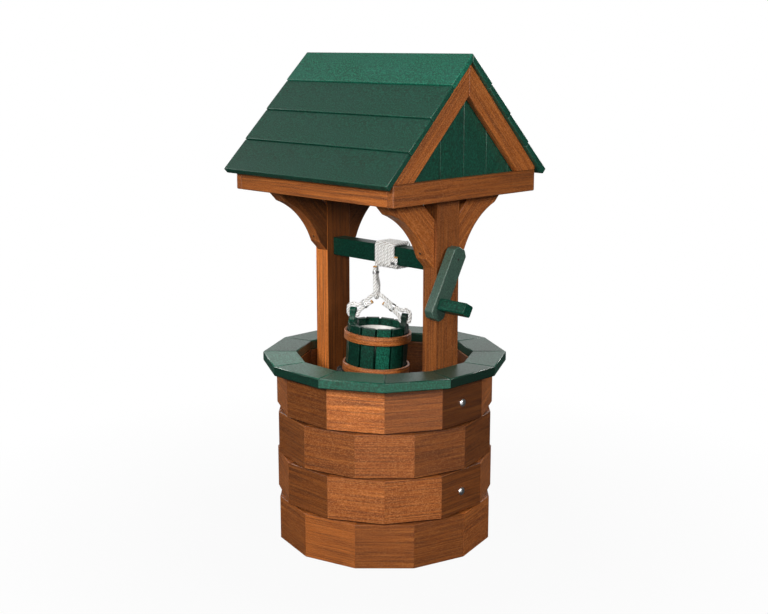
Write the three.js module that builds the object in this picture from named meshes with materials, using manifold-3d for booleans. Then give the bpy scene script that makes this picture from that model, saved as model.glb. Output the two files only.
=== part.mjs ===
// Wishing well planter of plastic lumber: a twelve-sided wall of mitred blocks, a gabled
// roof on two braced posts, and a hand-cranked spindle that lifts a small bucket.
// Millimetres, +Z up, ground at z = 0. X runs along the ridge and the spindle, with the
// crank at +X. The gables face +X and -X, the eaves +Y and -Y.
import * as THREE from "three";
import { mergeVertices } from "three/addons/utils/BufferGeometryUtils.js";
import Module from "manifold-3d";

const wasm = await Module();
wasm.setup();

// Play and tolerances
const SEAT = 0.3; // between pieces that bear on each other
const BORE_PLAY = 1; // on the radius, where something turns
const OVERRUN = 4; // how far a cutter passes the surface that it cuts
const WELD = 0.001; // points closer than this are one point

// Well wall
const SIDES = 12; // blocks in a course, and boards in the cap
const COURSES = 4;
const COURSE_HIGH = 122;
const COURSE_RADIUS = 298.7; // to a block's outer corner
const BLOCK_DEEP = 54;
const BLOCK_NOTCH = 3; // eased edges at a mitre, along the face
const BLOCK_NOTCH_DEEP = 3.4;
const CAP_OVERHANG = 36.3; // of the cap's outer corners past the wall's
const CAP_WIDE = 88.9; // of the cap's boards
const CAP_THICK = 27;
const CAP_NOTCH = 1.2;
const CAP_NOTCH_DEEP = 1.6;

// Planting floor
const CLEAT_HIGH = 38;
const CLEAT_THICK = 38;
const CLEAT_BOTTOM = 12;
const CLEAT_SETBACK = 104.5; // of a cleat's middle from the wall's inner face
const SLAT_THICK = 16;
const SLAT_COUNT = 5;
const SLAT_GAP = 7;
const SLAT_SETBACK = 5.5; // of the outer slats' edges from the wall's inner face
const FLOOR_PLAY = 2; // from the floor to the wall

// Posts, braces and their bolts
const POST_THICK = 48; // along X
const POST_WIDE = 83.6; // along Y
const BRACE_THICK = 40;
const BRACE_WIDE = 84;
const BRACE_CLEARANCE = 8.6; // from the brace's outer end to the eave's fascia
const SCALLOP_RADIUS = 213;
const SCALLOP_DEPTH = 19;
const SCALLOP_SHIFT = 12.9; // of the scallop's middle toward the foot of the brace
const BOLT_DIAMETER = 9.5;
const BOLT_HEAD_DIAMETER = 22;
const BOLT_HEAD_HIGH = 5.5;
const WASHER_DIAMETER = 25;
const WASHER_THICK = 2;
const NUT_ACROSS = 16; // over the corners
const NUT_THICK = 8;
const BOLT_TAIL = 4; // thread that shows past the nut

// Roof frame
const FRAME_OVER_CAP = 446.6; // from the cap's top to the frame's underside
const GABLE_OVERHANG = 65.72; // of the gable's face past the posts
const FRAME_HALF_WIDE = 268; // along Y, to the eave's face
const FASCIA_THICK = 20;
const FASCIA_HIGH = 55.4;
const HEAD_PLATE_RISE = 15; // of the head plate's underside over the frame's
const HEAD_PLATE_HIGH = 40;

// Roof
const ROOF_PITCH_DEG = 45.56;
const EAVE_RISE = 53.9; // of the roof's edge over the frame's underside
const EAVE_OVERHANG = 33; // of the roof's edge past the eave's face
const GABLE_LAP = 10.5; // of the roof boards past the gable's face
const ROOF_BOARD_THICK = 15;
const ROOF_BOARDS = 4; // in each slope
const ROOF_LIP = 3; // how far a board's lower edge stands proud of the next
const ROOF_JOINT = 0.6; // open joint between two boards
const RAFTER_WIDE = 57.6;
const PANEL_THICK = 12;
const PANEL_DROP = 37; // how far the gable boards reach below the fascia's top
const PANEL_BOARD_WIDE = 87;
const PANEL_SHIFT = 4; // of the middle seam toward +Y
const PANEL_NOTCH = 1.6; // half of the V between two gable boards
const PANEL_NOTCH_DEEP = 3;

// Spindle and crank
const SPINDLE_UNDER_FRAME = 170.7; // of its axis below the frame's underside
const SPINDLE_HIGH = 49;
const SPINDLE_DEEP = 42;
const SPINDLE_END_PLAY = 1.5;
const JOURNAL_DIAMETER = 32;
const ARM_THICK = 28;
const ARM_WIDE = 51;
const ARM_LONG = 199;
const ARM_CLIP = 13; // cut off each corner of the arm, along its edges
const ARM_LEAN_DEG = 29; // from hanging straight down, toward -Y
const ARM_STANDOFF = 8; // from the post's face to the arm
const ARM_SCREW_RISE = 12.9; // of the arm's top screw over the spindle's axis
const ARM_SCREW_SETBACK = 31; // of the same screw from the arm's top end
const SOCKET_DEEP = 12;
const HANDLE_ACROSS = 30.5;
const HANDLE_LONG = 89;
const HANDLE_SETBACK = 41; // of the handle's middle from the arm's lower end
const HANDLE_CHAMFER = 3;

// Rope and its clips
const ROPE_DIAMETER = 10.8;
const ROPE_PLAY = 0.5; // between the rope and what it is wound on or passes
const WRAPS = 6; // full turns on the spindle
const WRAP_PITCH = 12.1;
const WRAP_START = -3; // along X, where the rope hangs from the spindle
const WRAP_TIP_RISE = 22.5; // of the rope's end over the spindle's lower edge
const DROP_LONG = 16; // single rope between the spindle and the eye
const EYE_LONG = 86.1; // from the eye's top to its lowest point
const EYE_TURN_DEG = 110; // of the eye's two lengths at the clip, from the X axis
const EYE_BULGE = 3; // of each length, half way down the eye
const EYE_TIP_RISE = 7; // of the rope's end over the eye's top
const EYE_CLIP_DROP = 10.5; // of the clip's upper edge below the rope's end
const BAIL_SETBACK = 1.3; // of the bail's rope from the ear, above the hole
const BAIL_ARCH = 4; // of the bail's rope over the ear, more than it needs
const CLIP_WALL = 2;
const CLIP_LONG = 11;

// Bucket
const STAVES = 12;
const STAVE_RADIUS = 84.8; // to a stave's outer corner
const STAVE_THICK = 16;
const STAVE_NOTCH = 2; // half of the open joint between staves
const STAVE_NOTCH_DEEP = 9;
const BUCKET_HIGH = 147;
const BAIL_RISE = 82.7; // of the bail, where the eye holds it, over the rim's middle
const BUCKET_TURN_DEG = 26.4; // of the ears, from the X axis
const BUCKET_LEAN_DEG = 3.3; // the rope's eye has slipped toward one ear
const EAR_HIGH = 37;
const EAR_NECK = 21;
const EAR_SHOULDER_HIGH = 23; // height of the hollow between the neck and the rim
const EAR_HOLE_RISE = 13;
const BOTTOM_RISE = 8;
const BOTTOM_THICK = 12;
const LINER_DROP = 20; // of its edge below the rim
const LINER_WALL = 2.5;
const HOOP_HIGH = 24;
const HOOP_THICK = 7;
const UPPER_HOOP_DROP = 19; // of its upper edge below the rim
const LOWER_HOOP_RISE = 15; // of its lower edge over the bucket's bottom

// Facets
const ROUND_FACETS = 24;
const SMALL_FACETS = 12;
const ARC_STEPS = 8;
const HOOP_FACETS = 36;
const ROPE_FACETS = 8;
const WRAP_FACETS = 6;
const CORNER_STEPS = 5;
const EYE_STEPS = 56;
const BAIL_STEPS = 110;

// Sizes that follow from those above
const HALF_SIDE = Math.PI / SIDES;
const WALL_TOP = COURSES * COURSE_HIGH;
const CAP_TOP = WALL_TOP + CAP_THICK;
const COURSE_FACE = COURSE_RADIUS * Math.cos(HALF_SIDE); // from the axis to a block's face
const COURSE_INNER_FACE = COURSE_FACE - BLOCK_DEEP;
const COURSE_INNER_RADIUS = COURSE_INNER_FACE / Math.cos(HALF_SIDE);
const CAP_RADIUS = COURSE_RADIUS + CAP_OVERHANG; // to a board's outer corner
const CAP_FACE = CAP_RADIUS * Math.cos(HALF_SIDE);
const CAP_INNER_RADIUS = (CAP_FACE - CAP_WIDE) / Math.cos(HALF_SIDE);
const SLAT_ROW = 2 * (COURSE_INNER_FACE - SLAT_SETBACK);
const SLAT_WIDE = (SLAT_ROW - (SLAT_COUNT - 1) * SLAT_GAP) / SLAT_COUNT;
const HALF_POST = POST_WIDE / 2;
// The posts' outer corners bear on the inner faces of the courses that are turned.
const POST_OUT = (COURSE_INNER_FACE - SEAT - HALF_POST * Math.sin(HALF_SIDE)) / Math.cos(HALF_SIDE);
const POST_IN = POST_OUT - POST_THICK;
const FLOOR_TOP = CLEAT_BOTTOM + CLEAT_HIGH + SEAT + SLAT_THICK;
const POST_FOOT = FLOOR_TOP + SEAT;
const FRAME_BOTTOM = CAP_TOP + FRAME_OVER_CAP;
const FRAME_HALF_LONG = POST_OUT + GABLE_OVERHANG; // along X, to the gable's face
const HEAD_PLATE_BOTTOM = FRAME_BOTTOM + HEAD_PLATE_RISE;
const POST_TOP = HEAD_PLATE_BOTTOM - SEAT;
// The brace runs at 45 degrees from the post's side to its outer end inside the fascia.
const BRACE_REACH = FRAME_HALF_WIDE - FASCIA_THICK - BRACE_CLEARANCE - HALF_POST - SEAT;
const BRACE_FOOT = POST_TOP - BRACE_REACH;
const BOLT_HEIGHTS = [1.5 * COURSE_HIGH, (COURSES - 0.5) * COURSE_HIGH];
const BOLT_BORE = BOLT_DIAMETER / 2 + SEAT;
const ROOF_PITCH = THREE.MathUtils.degToRad(ROOF_PITCH_DEG);
const ROOF_HALF_LONG = FRAME_HALF_LONG + GABLE_LAP;
const EAVE_OUT = FRAME_HALF_WIDE + EAVE_OVERHANG; // from the ridge line to the roof's edge
const ROOF_SLANT = EAVE_OUT / Math.cos(ROOF_PITCH);
const RIDGE_HIGH = FRAME_BOTTOM + EAVE_RISE + EAVE_OUT * Math.tan(ROOF_PITCH);
const ROOF_UNDER_RIDGE = RIDGE_HIGH - (ROOF_BOARD_THICK + SEAT) / Math.cos(ROOF_PITCH);
const FASCIA_TOP = FRAME_BOTTOM + FASCIA_HIGH;
const PANEL_OUT = FRAME_HALF_LONG - FASCIA_THICK - SEAT;
const JOURNAL_RADIUS = JOURNAL_DIAMETER / 2;
const SPINDLE_AXIS_HIGH = FRAME_BOTTOM - SPINDLE_UNDER_FRAME;
const ARM_IN = POST_OUT + ARM_STANDOFF;
const ARM_OUT = ARM_IN + ARM_THICK;
const HANDLE_REACH = ARM_LONG - ARM_SCREW_SETBACK - HANDLE_SETBACK; // from the arm's top screw
const HANDLE_END = ARM_OUT + SEAT + HANDLE_LONG;
const ARM_LEAN = THREE.MathUtils.degToRad(ARM_LEAN_DEG);
const ROPE_RADIUS = ROPE_DIAMETER / 2;
const ROPE_OFFSET = ROPE_RADIUS + ROPE_PLAY; // from a surface to the rope's middle
const DROP_TOP = SPINDLE_AXIS_HIGH - SPINDLE_HIGH / 2 - SEAT;
const DROP_Y = -(SPINDLE_DEEP / 2 + ROPE_OFFSET);
const EYE_TOP = DROP_TOP - DROP_LONG;
const EYE_BOTTOM = EYE_TOP - EYE_LONG + ROPE_RADIUS; // of the rope's middle
const BAIL_HIGH = EYE_BOTTOM + ROPE_DIAMETER + ROPE_PLAY; // of the bail, where the eye holds it
const STAVE_FACE = STAVE_RADIUS * Math.cos(Math.PI / STAVES);
const STAVE_INNER_FACE = STAVE_FACE - STAVE_THICK;
const HALF_BUCKET = BUCKET_HIGH / 2;
const BUCKET_MIDDLE = BAIL_HIGH - BAIL_RISE - HALF_BUCKET;
const EAR_TOP = HALF_BUCKET + EAR_HIGH;
const EAR_HOLE = HALF_BUCKET + EAR_HOLE_RISE;
const UP = new THREE.Vector3(0, 0, 1);

// Colours and finishes
const FINISHES = {
  brown: { color: 0x9c5c2a, roughness: 0.62, metalness: 0 },
  green: { color: 0x1d5c45, roughness: 0.55, metalness: 0 },
  white: { color: 0xf1eee6, roughness: 0.5, metalness: 0 },
  rope: { color: 0xefece4, roughness: 0.85, metalness: 0 },
  steel: { color: 0xb9bcc0, roughness: 0.3, metalness: 1 },
};

const part = new THREE.Group();
// The handle reaches past the wall on one side only, so the axis of the well stands off the
// middle of the whole by this much.
part.position.x = (CAP_FACE - HANDLE_END) / 2;

function add(name, geometry, finish, parent = part) {
  const mesh = new THREE.Mesh(geometry, new THREE.MeshStandardMaterial(FINISHES[finish]));
  mesh.name = name;
  parent.add(mesh);
  return mesh;
}

function toSolid(geometry) {
  const bare = geometry.clone();
  bare.deleteAttribute("normal");
  bare.deleteAttribute("uv");
  const merged = mergeVertices(bare, WELD);
  return new wasm.Manifold(
    new wasm.Mesh({
      numProp: 3,
      vertProperties: Float32Array.from(merged.attributes.position.array),
      triVerts: Uint32Array.from(merged.index.array),
    }),
  );
}

function toGeometry(solid) {
  const mesh = solid.getMesh();
  const geometry = new THREE.BufferGeometry();
  geometry.setAttribute("position", new THREE.BufferAttribute(mesh.vertProperties, 3));
  geometry.setIndex(new THREE.BufferAttribute(mesh.triVerts, 1));
  geometry.computeVertexNormals();
  return geometry;
}

// Cuts each of the cutters out of a geometry.
function cut(geometry, cutters) {
  let solid = toSolid(geometry);
  for (const cutter of cutters) {
    solid = solid.subtract(toSolid(cutter));
  }
  return toGeometry(solid);
}

function outline(points) {
  return new THREE.Shape(points.map(([across, up]) => new THREE.Vector2(across, up)));
}

// A shape seen from above, standing on the height `from`.
function raise(shape, from, to) {
  const geometry = new THREE.ExtrudeGeometry(shape, { depth: to - from, bevelEnabled: false });
  return geometry.translate(0, 0, from);
}

// A shape drawn in Y and Z, reaching from one place on X to another.
function alongX(shape, from, to) {
  const geometry = new THREE.ExtrudeGeometry(shape, { depth: to - from, bevelEnabled: false });
  const axes = new THREE.Matrix4().makeBasis(
    new THREE.Vector3(0, 1, 0),
    UP,
    new THREE.Vector3(1, 0, 0),
  );
  return geometry.applyMatrix4(axes).translate(from, 0, 0);
}

function box(fromX, toX, fromY, toY, fromZ, toZ) {
  const geometry = new THREE.BoxGeometry(toX - fromX, toY - fromY, toZ - fromZ);
  return geometry.translate((fromX + toX) / 2, (fromY + toY) / 2, (fromZ + toZ) / 2);
}

// A round bar along X.
function bar(radius, fromX, toX, y, z, facets) {
  const geometry = new THREE.CylinderGeometry(radius, radius, toX - fromX, facets);
  return geometry.rotateZ(-Math.PI / 2).translate((fromX + toX) / 2, y, z);
}

// Points of a regular outline, with a V cut into each corner where `notch` is more than zero.
function notchedPolygon(radius, sides, turn, notch, notchDeep) {
  const corner = (index) => {
    const angle = turn + (2 * Math.PI * index) / sides;
    return new THREE.Vector2(Math.cos(angle), Math.sin(angle)).multiplyScalar(radius);
  };
  const points = [];
  for (let index = 0; index < sides; index += 1) {
    const here = corner(index);
    if (notch > 0) {
      const before = corner(index - 1).sub(here).setLength(notch).add(here);
      const after = corner(index + 1).sub(here).setLength(notch).add(here);
      const root = here.clone().setLength(radius - notchDeep);
      points.push(before, root, after);
    } else {
      points.push(here);
    }
  }
  return points;
}

function notchedRing(radius, innerRadius, turn, notch, notchDeep) {
  const shape = new THREE.Shape(notchedPolygon(radius, SIDES, turn, notch, notchDeep));
  shape.holes.push(new THREE.Path(notchedPolygon(innerRadius, SIDES, turn, 0, 0)));
  return shape;
}

// A tube through rings at the given points, square to the route, closed at both ends.
function sweep(points, radius, facets) {
  const directions = points.map((point, index) => {
    const before = points[Math.max(index - 1, 0)];
    const after = points[Math.min(index + 1, points.length - 1)];
    return after.clone().sub(before).normalize();
  });
  const side = new THREE.Vector3().crossVectors(directions[0], new THREE.Vector3(1, 0, 0)).normalize();
  const positions = [];
  points.forEach((point, index) => {
    side.addScaledVector(directions[index], -side.dot(directions[index])).normalize();
    const other = new THREE.Vector3().crossVectors(directions[index], side);
    for (let facet = 0; facet < facets; facet += 1) {
      const angle = (2 * Math.PI * facet) / facets;
      const out = side.clone().multiplyScalar(Math.cos(angle)).addScaledVector(other, Math.sin(angle));
      positions.push(...point.clone().addScaledVector(out, radius).toArray());
    }
  });
  const triangles = [];
  for (let ring = 0; ring < points.length - 1; ring += 1) {
    for (let facet = 0; facet < facets; facet += 1) {
      const a = ring * facets + facet;
      const b = ring * facets + ((facet + 1) % facets);
      triangles.push(a, b, b + facets, a, b + facets, a + facets);
    }
  }
  const last = (points.length - 1) * facets;
  for (let facet = 1; facet < facets - 1; facet += 1) {
    triangles.push(0, facet + 1, facet);
    triangles.push(last, last + facet, last + facet + 1);
  }
  const geometry = new THREE.BufferGeometry();
  geometry.setAttribute("position", new THREE.Float32BufferAttribute(positions, 3));
  geometry.setIndex(triangles);
  geometry.computeVertexNormals();
  return geometry;
}

// Well wall: four courses of mitred blocks, every other one turned by half a block.
function buildWall() {
  for (let course = 0; course < COURSES; course += 1) {
    const faceOnX = course % 2 === 1;
    const turn = faceOnX ? HALF_SIDE : 0;
    const ring = notchedRing(COURSE_RADIUS, COURSE_INNER_RADIUS, turn, BLOCK_NOTCH, BLOCK_NOTCH_DEEP);
    const bottom = course * COURSE_HIGH;
    let geometry = raise(ring, bottom, bottom + COURSE_HIGH);
    const heights = BOLT_HEIGHTS.filter((height) => height > bottom && height < bottom + COURSE_HIGH);
    if (heights.length > 0) {
      const reach = COURSE_RADIUS + OVERRUN;
      const bores = heights.map((height) => bar(BOLT_BORE, -reach, reach, 0, height, SMALL_FACETS));
      geometry = cut(geometry, bores);
    }
    add(`course_${course + 1}`, geometry, "brown");
  }
  const cap = notchedRing(CAP_RADIUS, CAP_INNER_RADIUS, HALF_SIDE, CAP_NOTCH, CAP_NOTCH_DEEP);
  add("cap_ring", raise(cap, WALL_TOP, CAP_TOP), "green");
}

// Floor for the soil or the pots: slats on two cleats, fitted to the lowest course.
function buildFloor() {
  const insideOf = (play, from, to) => {
    const radius = (COURSE_INNER_FACE - play) / Math.cos(HALF_SIDE);
    return toSolid(raise(new THREE.Shape(notchedPolygon(radius, SIDES, 0, 0, 0)), from, to));
  };
  const cleatTop = CLEAT_BOTTOM + CLEAT_HIGH;
  for (const side of [-1, 1]) {
    const middle = side * (COURSE_INNER_FACE - CLEAT_SETBACK);
    const bounds = [middle - CLEAT_THICK / 2, middle + CLEAT_THICK / 2];
    const blank = box(-COURSE_RADIUS, COURSE_RADIUS, ...bounds, CLEAT_BOTTOM, cleatTop);
    const room = insideOf(SEAT, CLEAT_BOTTOM - OVERRUN, cleatTop + OVERRUN);
    add(`floor_cleat_${side < 0 ? 1 : 2}`, toGeometry(toSolid(blank).intersect(room)), "brown");
  }
  const step = SLAT_WIDE + SLAT_GAP;
  for (let slat = 0; slat < SLAT_COUNT; slat += 1) {
    const middle = (slat - (SLAT_COUNT - 1) / 2) * step;
    const bounds = [middle - SLAT_WIDE / 2, middle + SLAT_WIDE / 2];
    const blank = box(...bounds, -COURSE_RADIUS, COURSE_RADIUS, cleatTop + SEAT, FLOOR_TOP);
    const room = insideOf(FLOOR_PLAY, cleatTop - OVERRUN, FLOOR_TOP + OVERRUN);
    add(`floor_slat_${slat + 1}`, toGeometry(toSolid(blank).intersect(room)), "brown");
  }
}

// One post, bored for the spindle's journal and for the two bolts through the wall.
function buildPost(name, side) {
  const bounds = side < 0 ? [-POST_OUT, -POST_IN] : [POST_IN, POST_OUT];
  const blank = box(...bounds, -HALF_POST, HALF_POST, POST_FOOT, POST_TOP);
  const reach = [bounds[0] - OVERRUN, bounds[1] + OVERRUN];
  const bores = BOLT_HEIGHTS.map((height) => bar(BOLT_BORE, ...reach, 0, height, SMALL_FACETS));
  bores.push(bar(JOURNAL_RADIUS + BORE_PLAY, ...reach, 0, SPINDLE_AXIS_HIGH, ROUND_FACETS));
  add(name, cut(blank, bores), "brown");
}

// Carriage bolt with its washer and nut, turned from one profile: x along the bolt.
function boltProfile() {
  const shank = BOLT_DIAMETER / 2;
  const head = BOLT_HEAD_DIAMETER / 2;
  const grip = COURSE_FACE - POST_IN;
  const washer = WASHER_DIAMETER / 2;
  const domeShares = [
    [0, 1],
    [0.45, 0.88],
    [0.8, 0.55],
    [1, 0.12],
  ];
  const points = domeShares.map(([out, up]) => [out * head, SEAT + up * BOLT_HEAD_HIGH]);
  points.push([head, SEAT], [shank, SEAT], [shank, -grip - SEAT]);
  points.push([washer, -grip - SEAT], [washer, -grip - SEAT - WASHER_THICK]);
  const nutTop = -grip - SEAT - WASHER_THICK - NUT_THICK;
  points.push([NUT_ACROSS / 2, -grip - SEAT - WASHER_THICK], [NUT_ACROSS / 2, nutTop]);
  points.push([shank, nutTop], [shank, nutTop - BOLT_TAIL], [0, nutTop - BOLT_TAIL]);
  return points.reverse().map(([across, up]) => new THREE.Vector2(across, up));
}

function buildBolts() {
  BOLT_HEIGHTS.forEach((height, index) => {
    for (const side of [-1, 1]) {
      const geometry = new THREE.LatheGeometry(boltProfile(), SMALL_FACETS);
      geometry.rotateZ((-side * Math.PI) / 2).translate(side * COURSE_FACE, 0, height);
      const name = `bolt_${side < 0 ? "left" : "right"}_${index === 0 ? "lower" : "upper"}`;
      add(name, geometry, "steel");
    }
  });
}

// Outline of a brace in Y and Z: a board at 45 degrees with a scallop out of its outer edge.
function braceOutline(side) {
  const start = HALF_POST + SEAT;
  const foot = BRACE_FOOT;
  const depth = BRACE_WIDE * Math.SQRT2; // height of the joint on the post
  const top = POST_TOP;
  const alongEdge = BRACE_REACH / 2 - SCALLOP_SHIFT / Math.SQRT2;
  const setback = (SCALLOP_RADIUS - SCALLOP_DEPTH) / Math.SQRT2;
  const centre = [start + alongEdge + setback, foot + alongEdge - setback];
  const halfAngle = Math.acos(1 - SCALLOP_DEPTH / SCALLOP_RADIUS);
  const middleAngle = (3 * Math.PI) / 4;
  const points = [[start, foot]];
  for (let step = 0; step <= ARC_STEPS; step += 1) {
    const angle = middleAngle + halfAngle * (1 - (2 * step) / ARC_STEPS);
    const across = centre[0] + SCALLOP_RADIUS * Math.cos(angle);
    points.push([across, centre[1] + SCALLOP_RADIUS * Math.sin(angle)]);
  }
  points.push([start + top - foot, top], [start + top - foot - depth, top], [start, foot + depth]);
  return outline(points.map(([across, up]) => [side * across, up]));
}

function buildPostsAndBraces() {
  for (const [end, name] of [[-1, "left"], [1, "right"]]) {
    buildPost(`post_${name}`, end);
    const bounds = end < 0 ? [-POST_IN - BRACE_THICK, -POST_IN] : [POST_IN, POST_IN + BRACE_THICK];
    add(`brace_${name}_front`, alongX(braceOutline(-1), ...bounds), "brown");
    add(`brace_${name}_back`, alongX(braceOutline(1), ...bounds), "brown");
  }
}

// Height of the roof boards' underside over a place on Y.
function roofUnder(y) {
  return ROOF_UNDER_RIDGE - Math.abs(y) * Math.tan(ROOF_PITCH);
}

function buildRoofFrame() {
  const inner = FRAME_HALF_WIDE - FASCIA_THICK;
  for (const [side, name] of [[-1, "front"], [1, "back"]]) {
    const points = [
      [side * FRAME_HALF_WIDE, FRAME_BOTTOM],
      [side * FRAME_HALF_WIDE, roofUnder(FRAME_HALF_WIDE)],
      [side * inner, roofUnder(inner)],
      [side * inner, FRAME_BOTTOM],
    ];
    const reach = FRAME_HALF_LONG - FASCIA_THICK - SEAT;
    add(`fascia_${name}`, alongX(outline(points), -reach, reach), "brown");
  }
  for (const [end, name] of [[-1, "left"], [1, "right"]]) {
    const near = Math.min(end * (FRAME_HALF_LONG - FASCIA_THICK), end * FRAME_HALF_LONG);
    const bounds = [near, near + FASCIA_THICK];
    const fascia = box(...bounds, -FRAME_HALF_WIDE, FRAME_HALF_WIDE, FRAME_BOTTOM, FASCIA_TOP);
    add(`fascia_${name}`, fascia, "brown");
    const plate = end < 0 ? [-POST_OUT, -POST_IN] : [POST_IN, POST_OUT];
    const wide = inner - SEAT;
    const plateTop = HEAD_PLATE_BOTTOM + HEAD_PLATE_HIGH;
    add(`head_plate_${name}`, box(...plate, -wide, wide, HEAD_PLATE_BOTTOM, plateTop), "brown");
    buildGable(end, name, near);
  }
}

// Gable: two rafters mitred at the peak, and upright boards behind them.
function buildGable(end, name, near) {
  const foot = FASCIA_TOP + SEAT;
  const drop = RAFTER_WIDE / Math.cos(ROOF_PITCH);
  const innerFoot = (ROOF_UNDER_RIDGE - drop - foot) / Math.tan(ROOF_PITCH);
  for (const [side, slope] of [[-1, "front"], [1, "back"]]) {
    const mitre = SEAT / 2;
    const points = [
      [side * innerFoot, foot],
      [side * FRAME_HALF_WIDE, foot],
      [side * FRAME_HALF_WIDE, roofUnder(FRAME_HALF_WIDE)],
      [side * mitre, roofUnder(mitre)],
      [side * mitre, roofUnder(mitre) - drop],
    ];
    add(`rafter_${name}_${slope}`, alongX(outline(points), near, near + FASCIA_THICK), "brown");
  }
  const bottom = FASCIA_TOP - PANEL_DROP;
  const half = FRAME_HALF_WIDE - FASCIA_THICK - SEAT;
  const points = [
    [-half, bottom],
    [half, bottom],
    [half, roofUnder(half)],
    [0, roofUnder(0)],
    [-half, roofUnder(half)],
  ];
  const bounds = end < 0 ? [-PANEL_OUT, -PANEL_OUT + PANEL_THICK] : [PANEL_OUT - PANEL_THICK, PANEL_OUT];
  const grooves = [];
  const first = Math.ceil((-half - PANEL_SHIFT + PANEL_NOTCH) / PANEL_BOARD_WIDE);
  const last = Math.floor((half - PANEL_SHIFT - PANEL_NOTCH) / PANEL_BOARD_WIDE);
  for (let seam = first; seam <= last; seam += 1) {
    const groove = outline([
      [-PANEL_NOTCH - OVERRUN / 2, OVERRUN],
      [0, -PANEL_NOTCH_DEEP],
      [PANEL_NOTCH + OVERRUN / 2, OVERRUN],
    ]);
    const geometry = raise(groove, bottom - OVERRUN, RIDGE_HIGH);
    geometry.rotateZ((-end * Math.PI) / 2);
    grooves.push(geometry.translate(end * PANEL_OUT, PANEL_SHIFT + seam * PANEL_BOARD_WIDE, 0));
  }
  add(`gable_boards_${name}`, cut(alongX(outline(points), ...bounds), grooves), "green");
}

// Roof boards: each lies on the rafters and its lower edge stands proud of the next.
function buildRoof() {
  const pitch = ROOF_SLANT / ROOF_BOARDS;
  for (const [side, slope] of [[-1, "front"], [1, "back"]]) {
    // A point at a distance down the slope and at a height over the rafters.
    const place = (down, over) => {
      const above = over - ROOF_BOARD_THICK;
      const y = down * Math.cos(ROOF_PITCH) + above * Math.sin(ROOF_PITCH);
      const z = RIDGE_HIGH - down * Math.sin(ROOF_PITCH) + above * Math.cos(ROOF_PITCH);
      return [side * y, z];
    };
    for (let board = 0; board < ROOF_BOARDS; board += 1) {
      const from = board * pitch + (board === 0 ? 0 : ROOF_JOINT);
      const to = (board + 1) * pitch;
      const lower = [place(to, 0), place(to, ROOF_BOARD_THICK + ROOF_LIP)];
      let upper = [place(from, ROOF_BOARD_THICK), place(from, 0)];
      if (board === 0) {
        const mitre = SEAT / 2;
        const ridge = RIDGE_HIGH - mitre * Math.tan(ROOF_PITCH);
        upper = [
          [side * mitre, ridge],
          [side * mitre, ridge - ROOF_BOARD_THICK / Math.cos(ROOF_PITCH)],
        ];
      }
      const shape = outline([...lower, ...upper]);
      add(`roof_${slope}_${board + 1}`, alongX(shape, -ROOF_HALF_LONG, ROOF_HALF_LONG), "green");
    }
  }
}

// Spindle: a square bar with a journal turned on each end.
function buildSpindle() {
  const body = POST_IN - SPINDLE_END_PLAY;
  const halfHigh = SPINDLE_HIGH / 2;
  const halfDeep = SPINDLE_DEEP / 2;
  const axis = SPINDLE_AXIS_HIGH;
  const square = box(-body, body, -halfDeep, halfDeep, axis - halfHigh, axis + halfHigh);
  const socketEnd = ARM_IN + SOCKET_DEEP - SEAT;
  const journal = bar(JOURNAL_RADIUS, -POST_OUT, socketEnd, 0, axis, ROUND_FACETS);
  add("spindle", toGeometry(toSolid(square).add(toSolid(journal))), "green");
}

// Crank arm: a board with clipped corners, and the square handle near its lower end.
function buildCrank() {
  const half = ARM_WIDE / 2;
  const top = ARM_SCREW_SETBACK;
  const low = top - ARM_LONG;
  const flat = outline([
    [-half, low + ARM_CLIP], [ARM_CLIP - half, low], [half - ARM_CLIP, low], [half, low + ARM_CLIP],
    [half, top - ARM_CLIP], [half - ARM_CLIP, top], [ARM_CLIP - half, top], [-half, top - ARM_CLIP],
  ]);
  const lean = (geometry) => {
    geometry.rotateX(-ARM_LEAN);
    return geometry.translate(0, 0, SPINDLE_AXIS_HIGH + ARM_SCREW_RISE);
  };
  const blank = lean(alongX(flat, ARM_IN, ARM_OUT));
  const socketSpan = [ARM_IN - OVERRUN, ARM_IN + SOCKET_DEEP];
  const socket = bar(JOURNAL_RADIUS + SEAT, ...socketSpan, 0, SPINDLE_AXIS_HIGH, ROUND_FACETS);
  add("crank_arm", cut(blank, [socket]), "green");

  const side = HANDLE_ACROSS / 2;
  const eased = side - HANDLE_CHAMFER;
  const section = outline([
    [-eased, -side], [eased, -side], [side, -eased], [side, eased],
    [eased, side], [-eased, side], [-side, eased], [-side, -eased],
  ]);
  const handle = alongX(section, ARM_OUT + SEAT, HANDLE_END).translate(0, 0, -HANDLE_REACH);
  add("crank_handle", lean(handle), "green");
}

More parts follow.
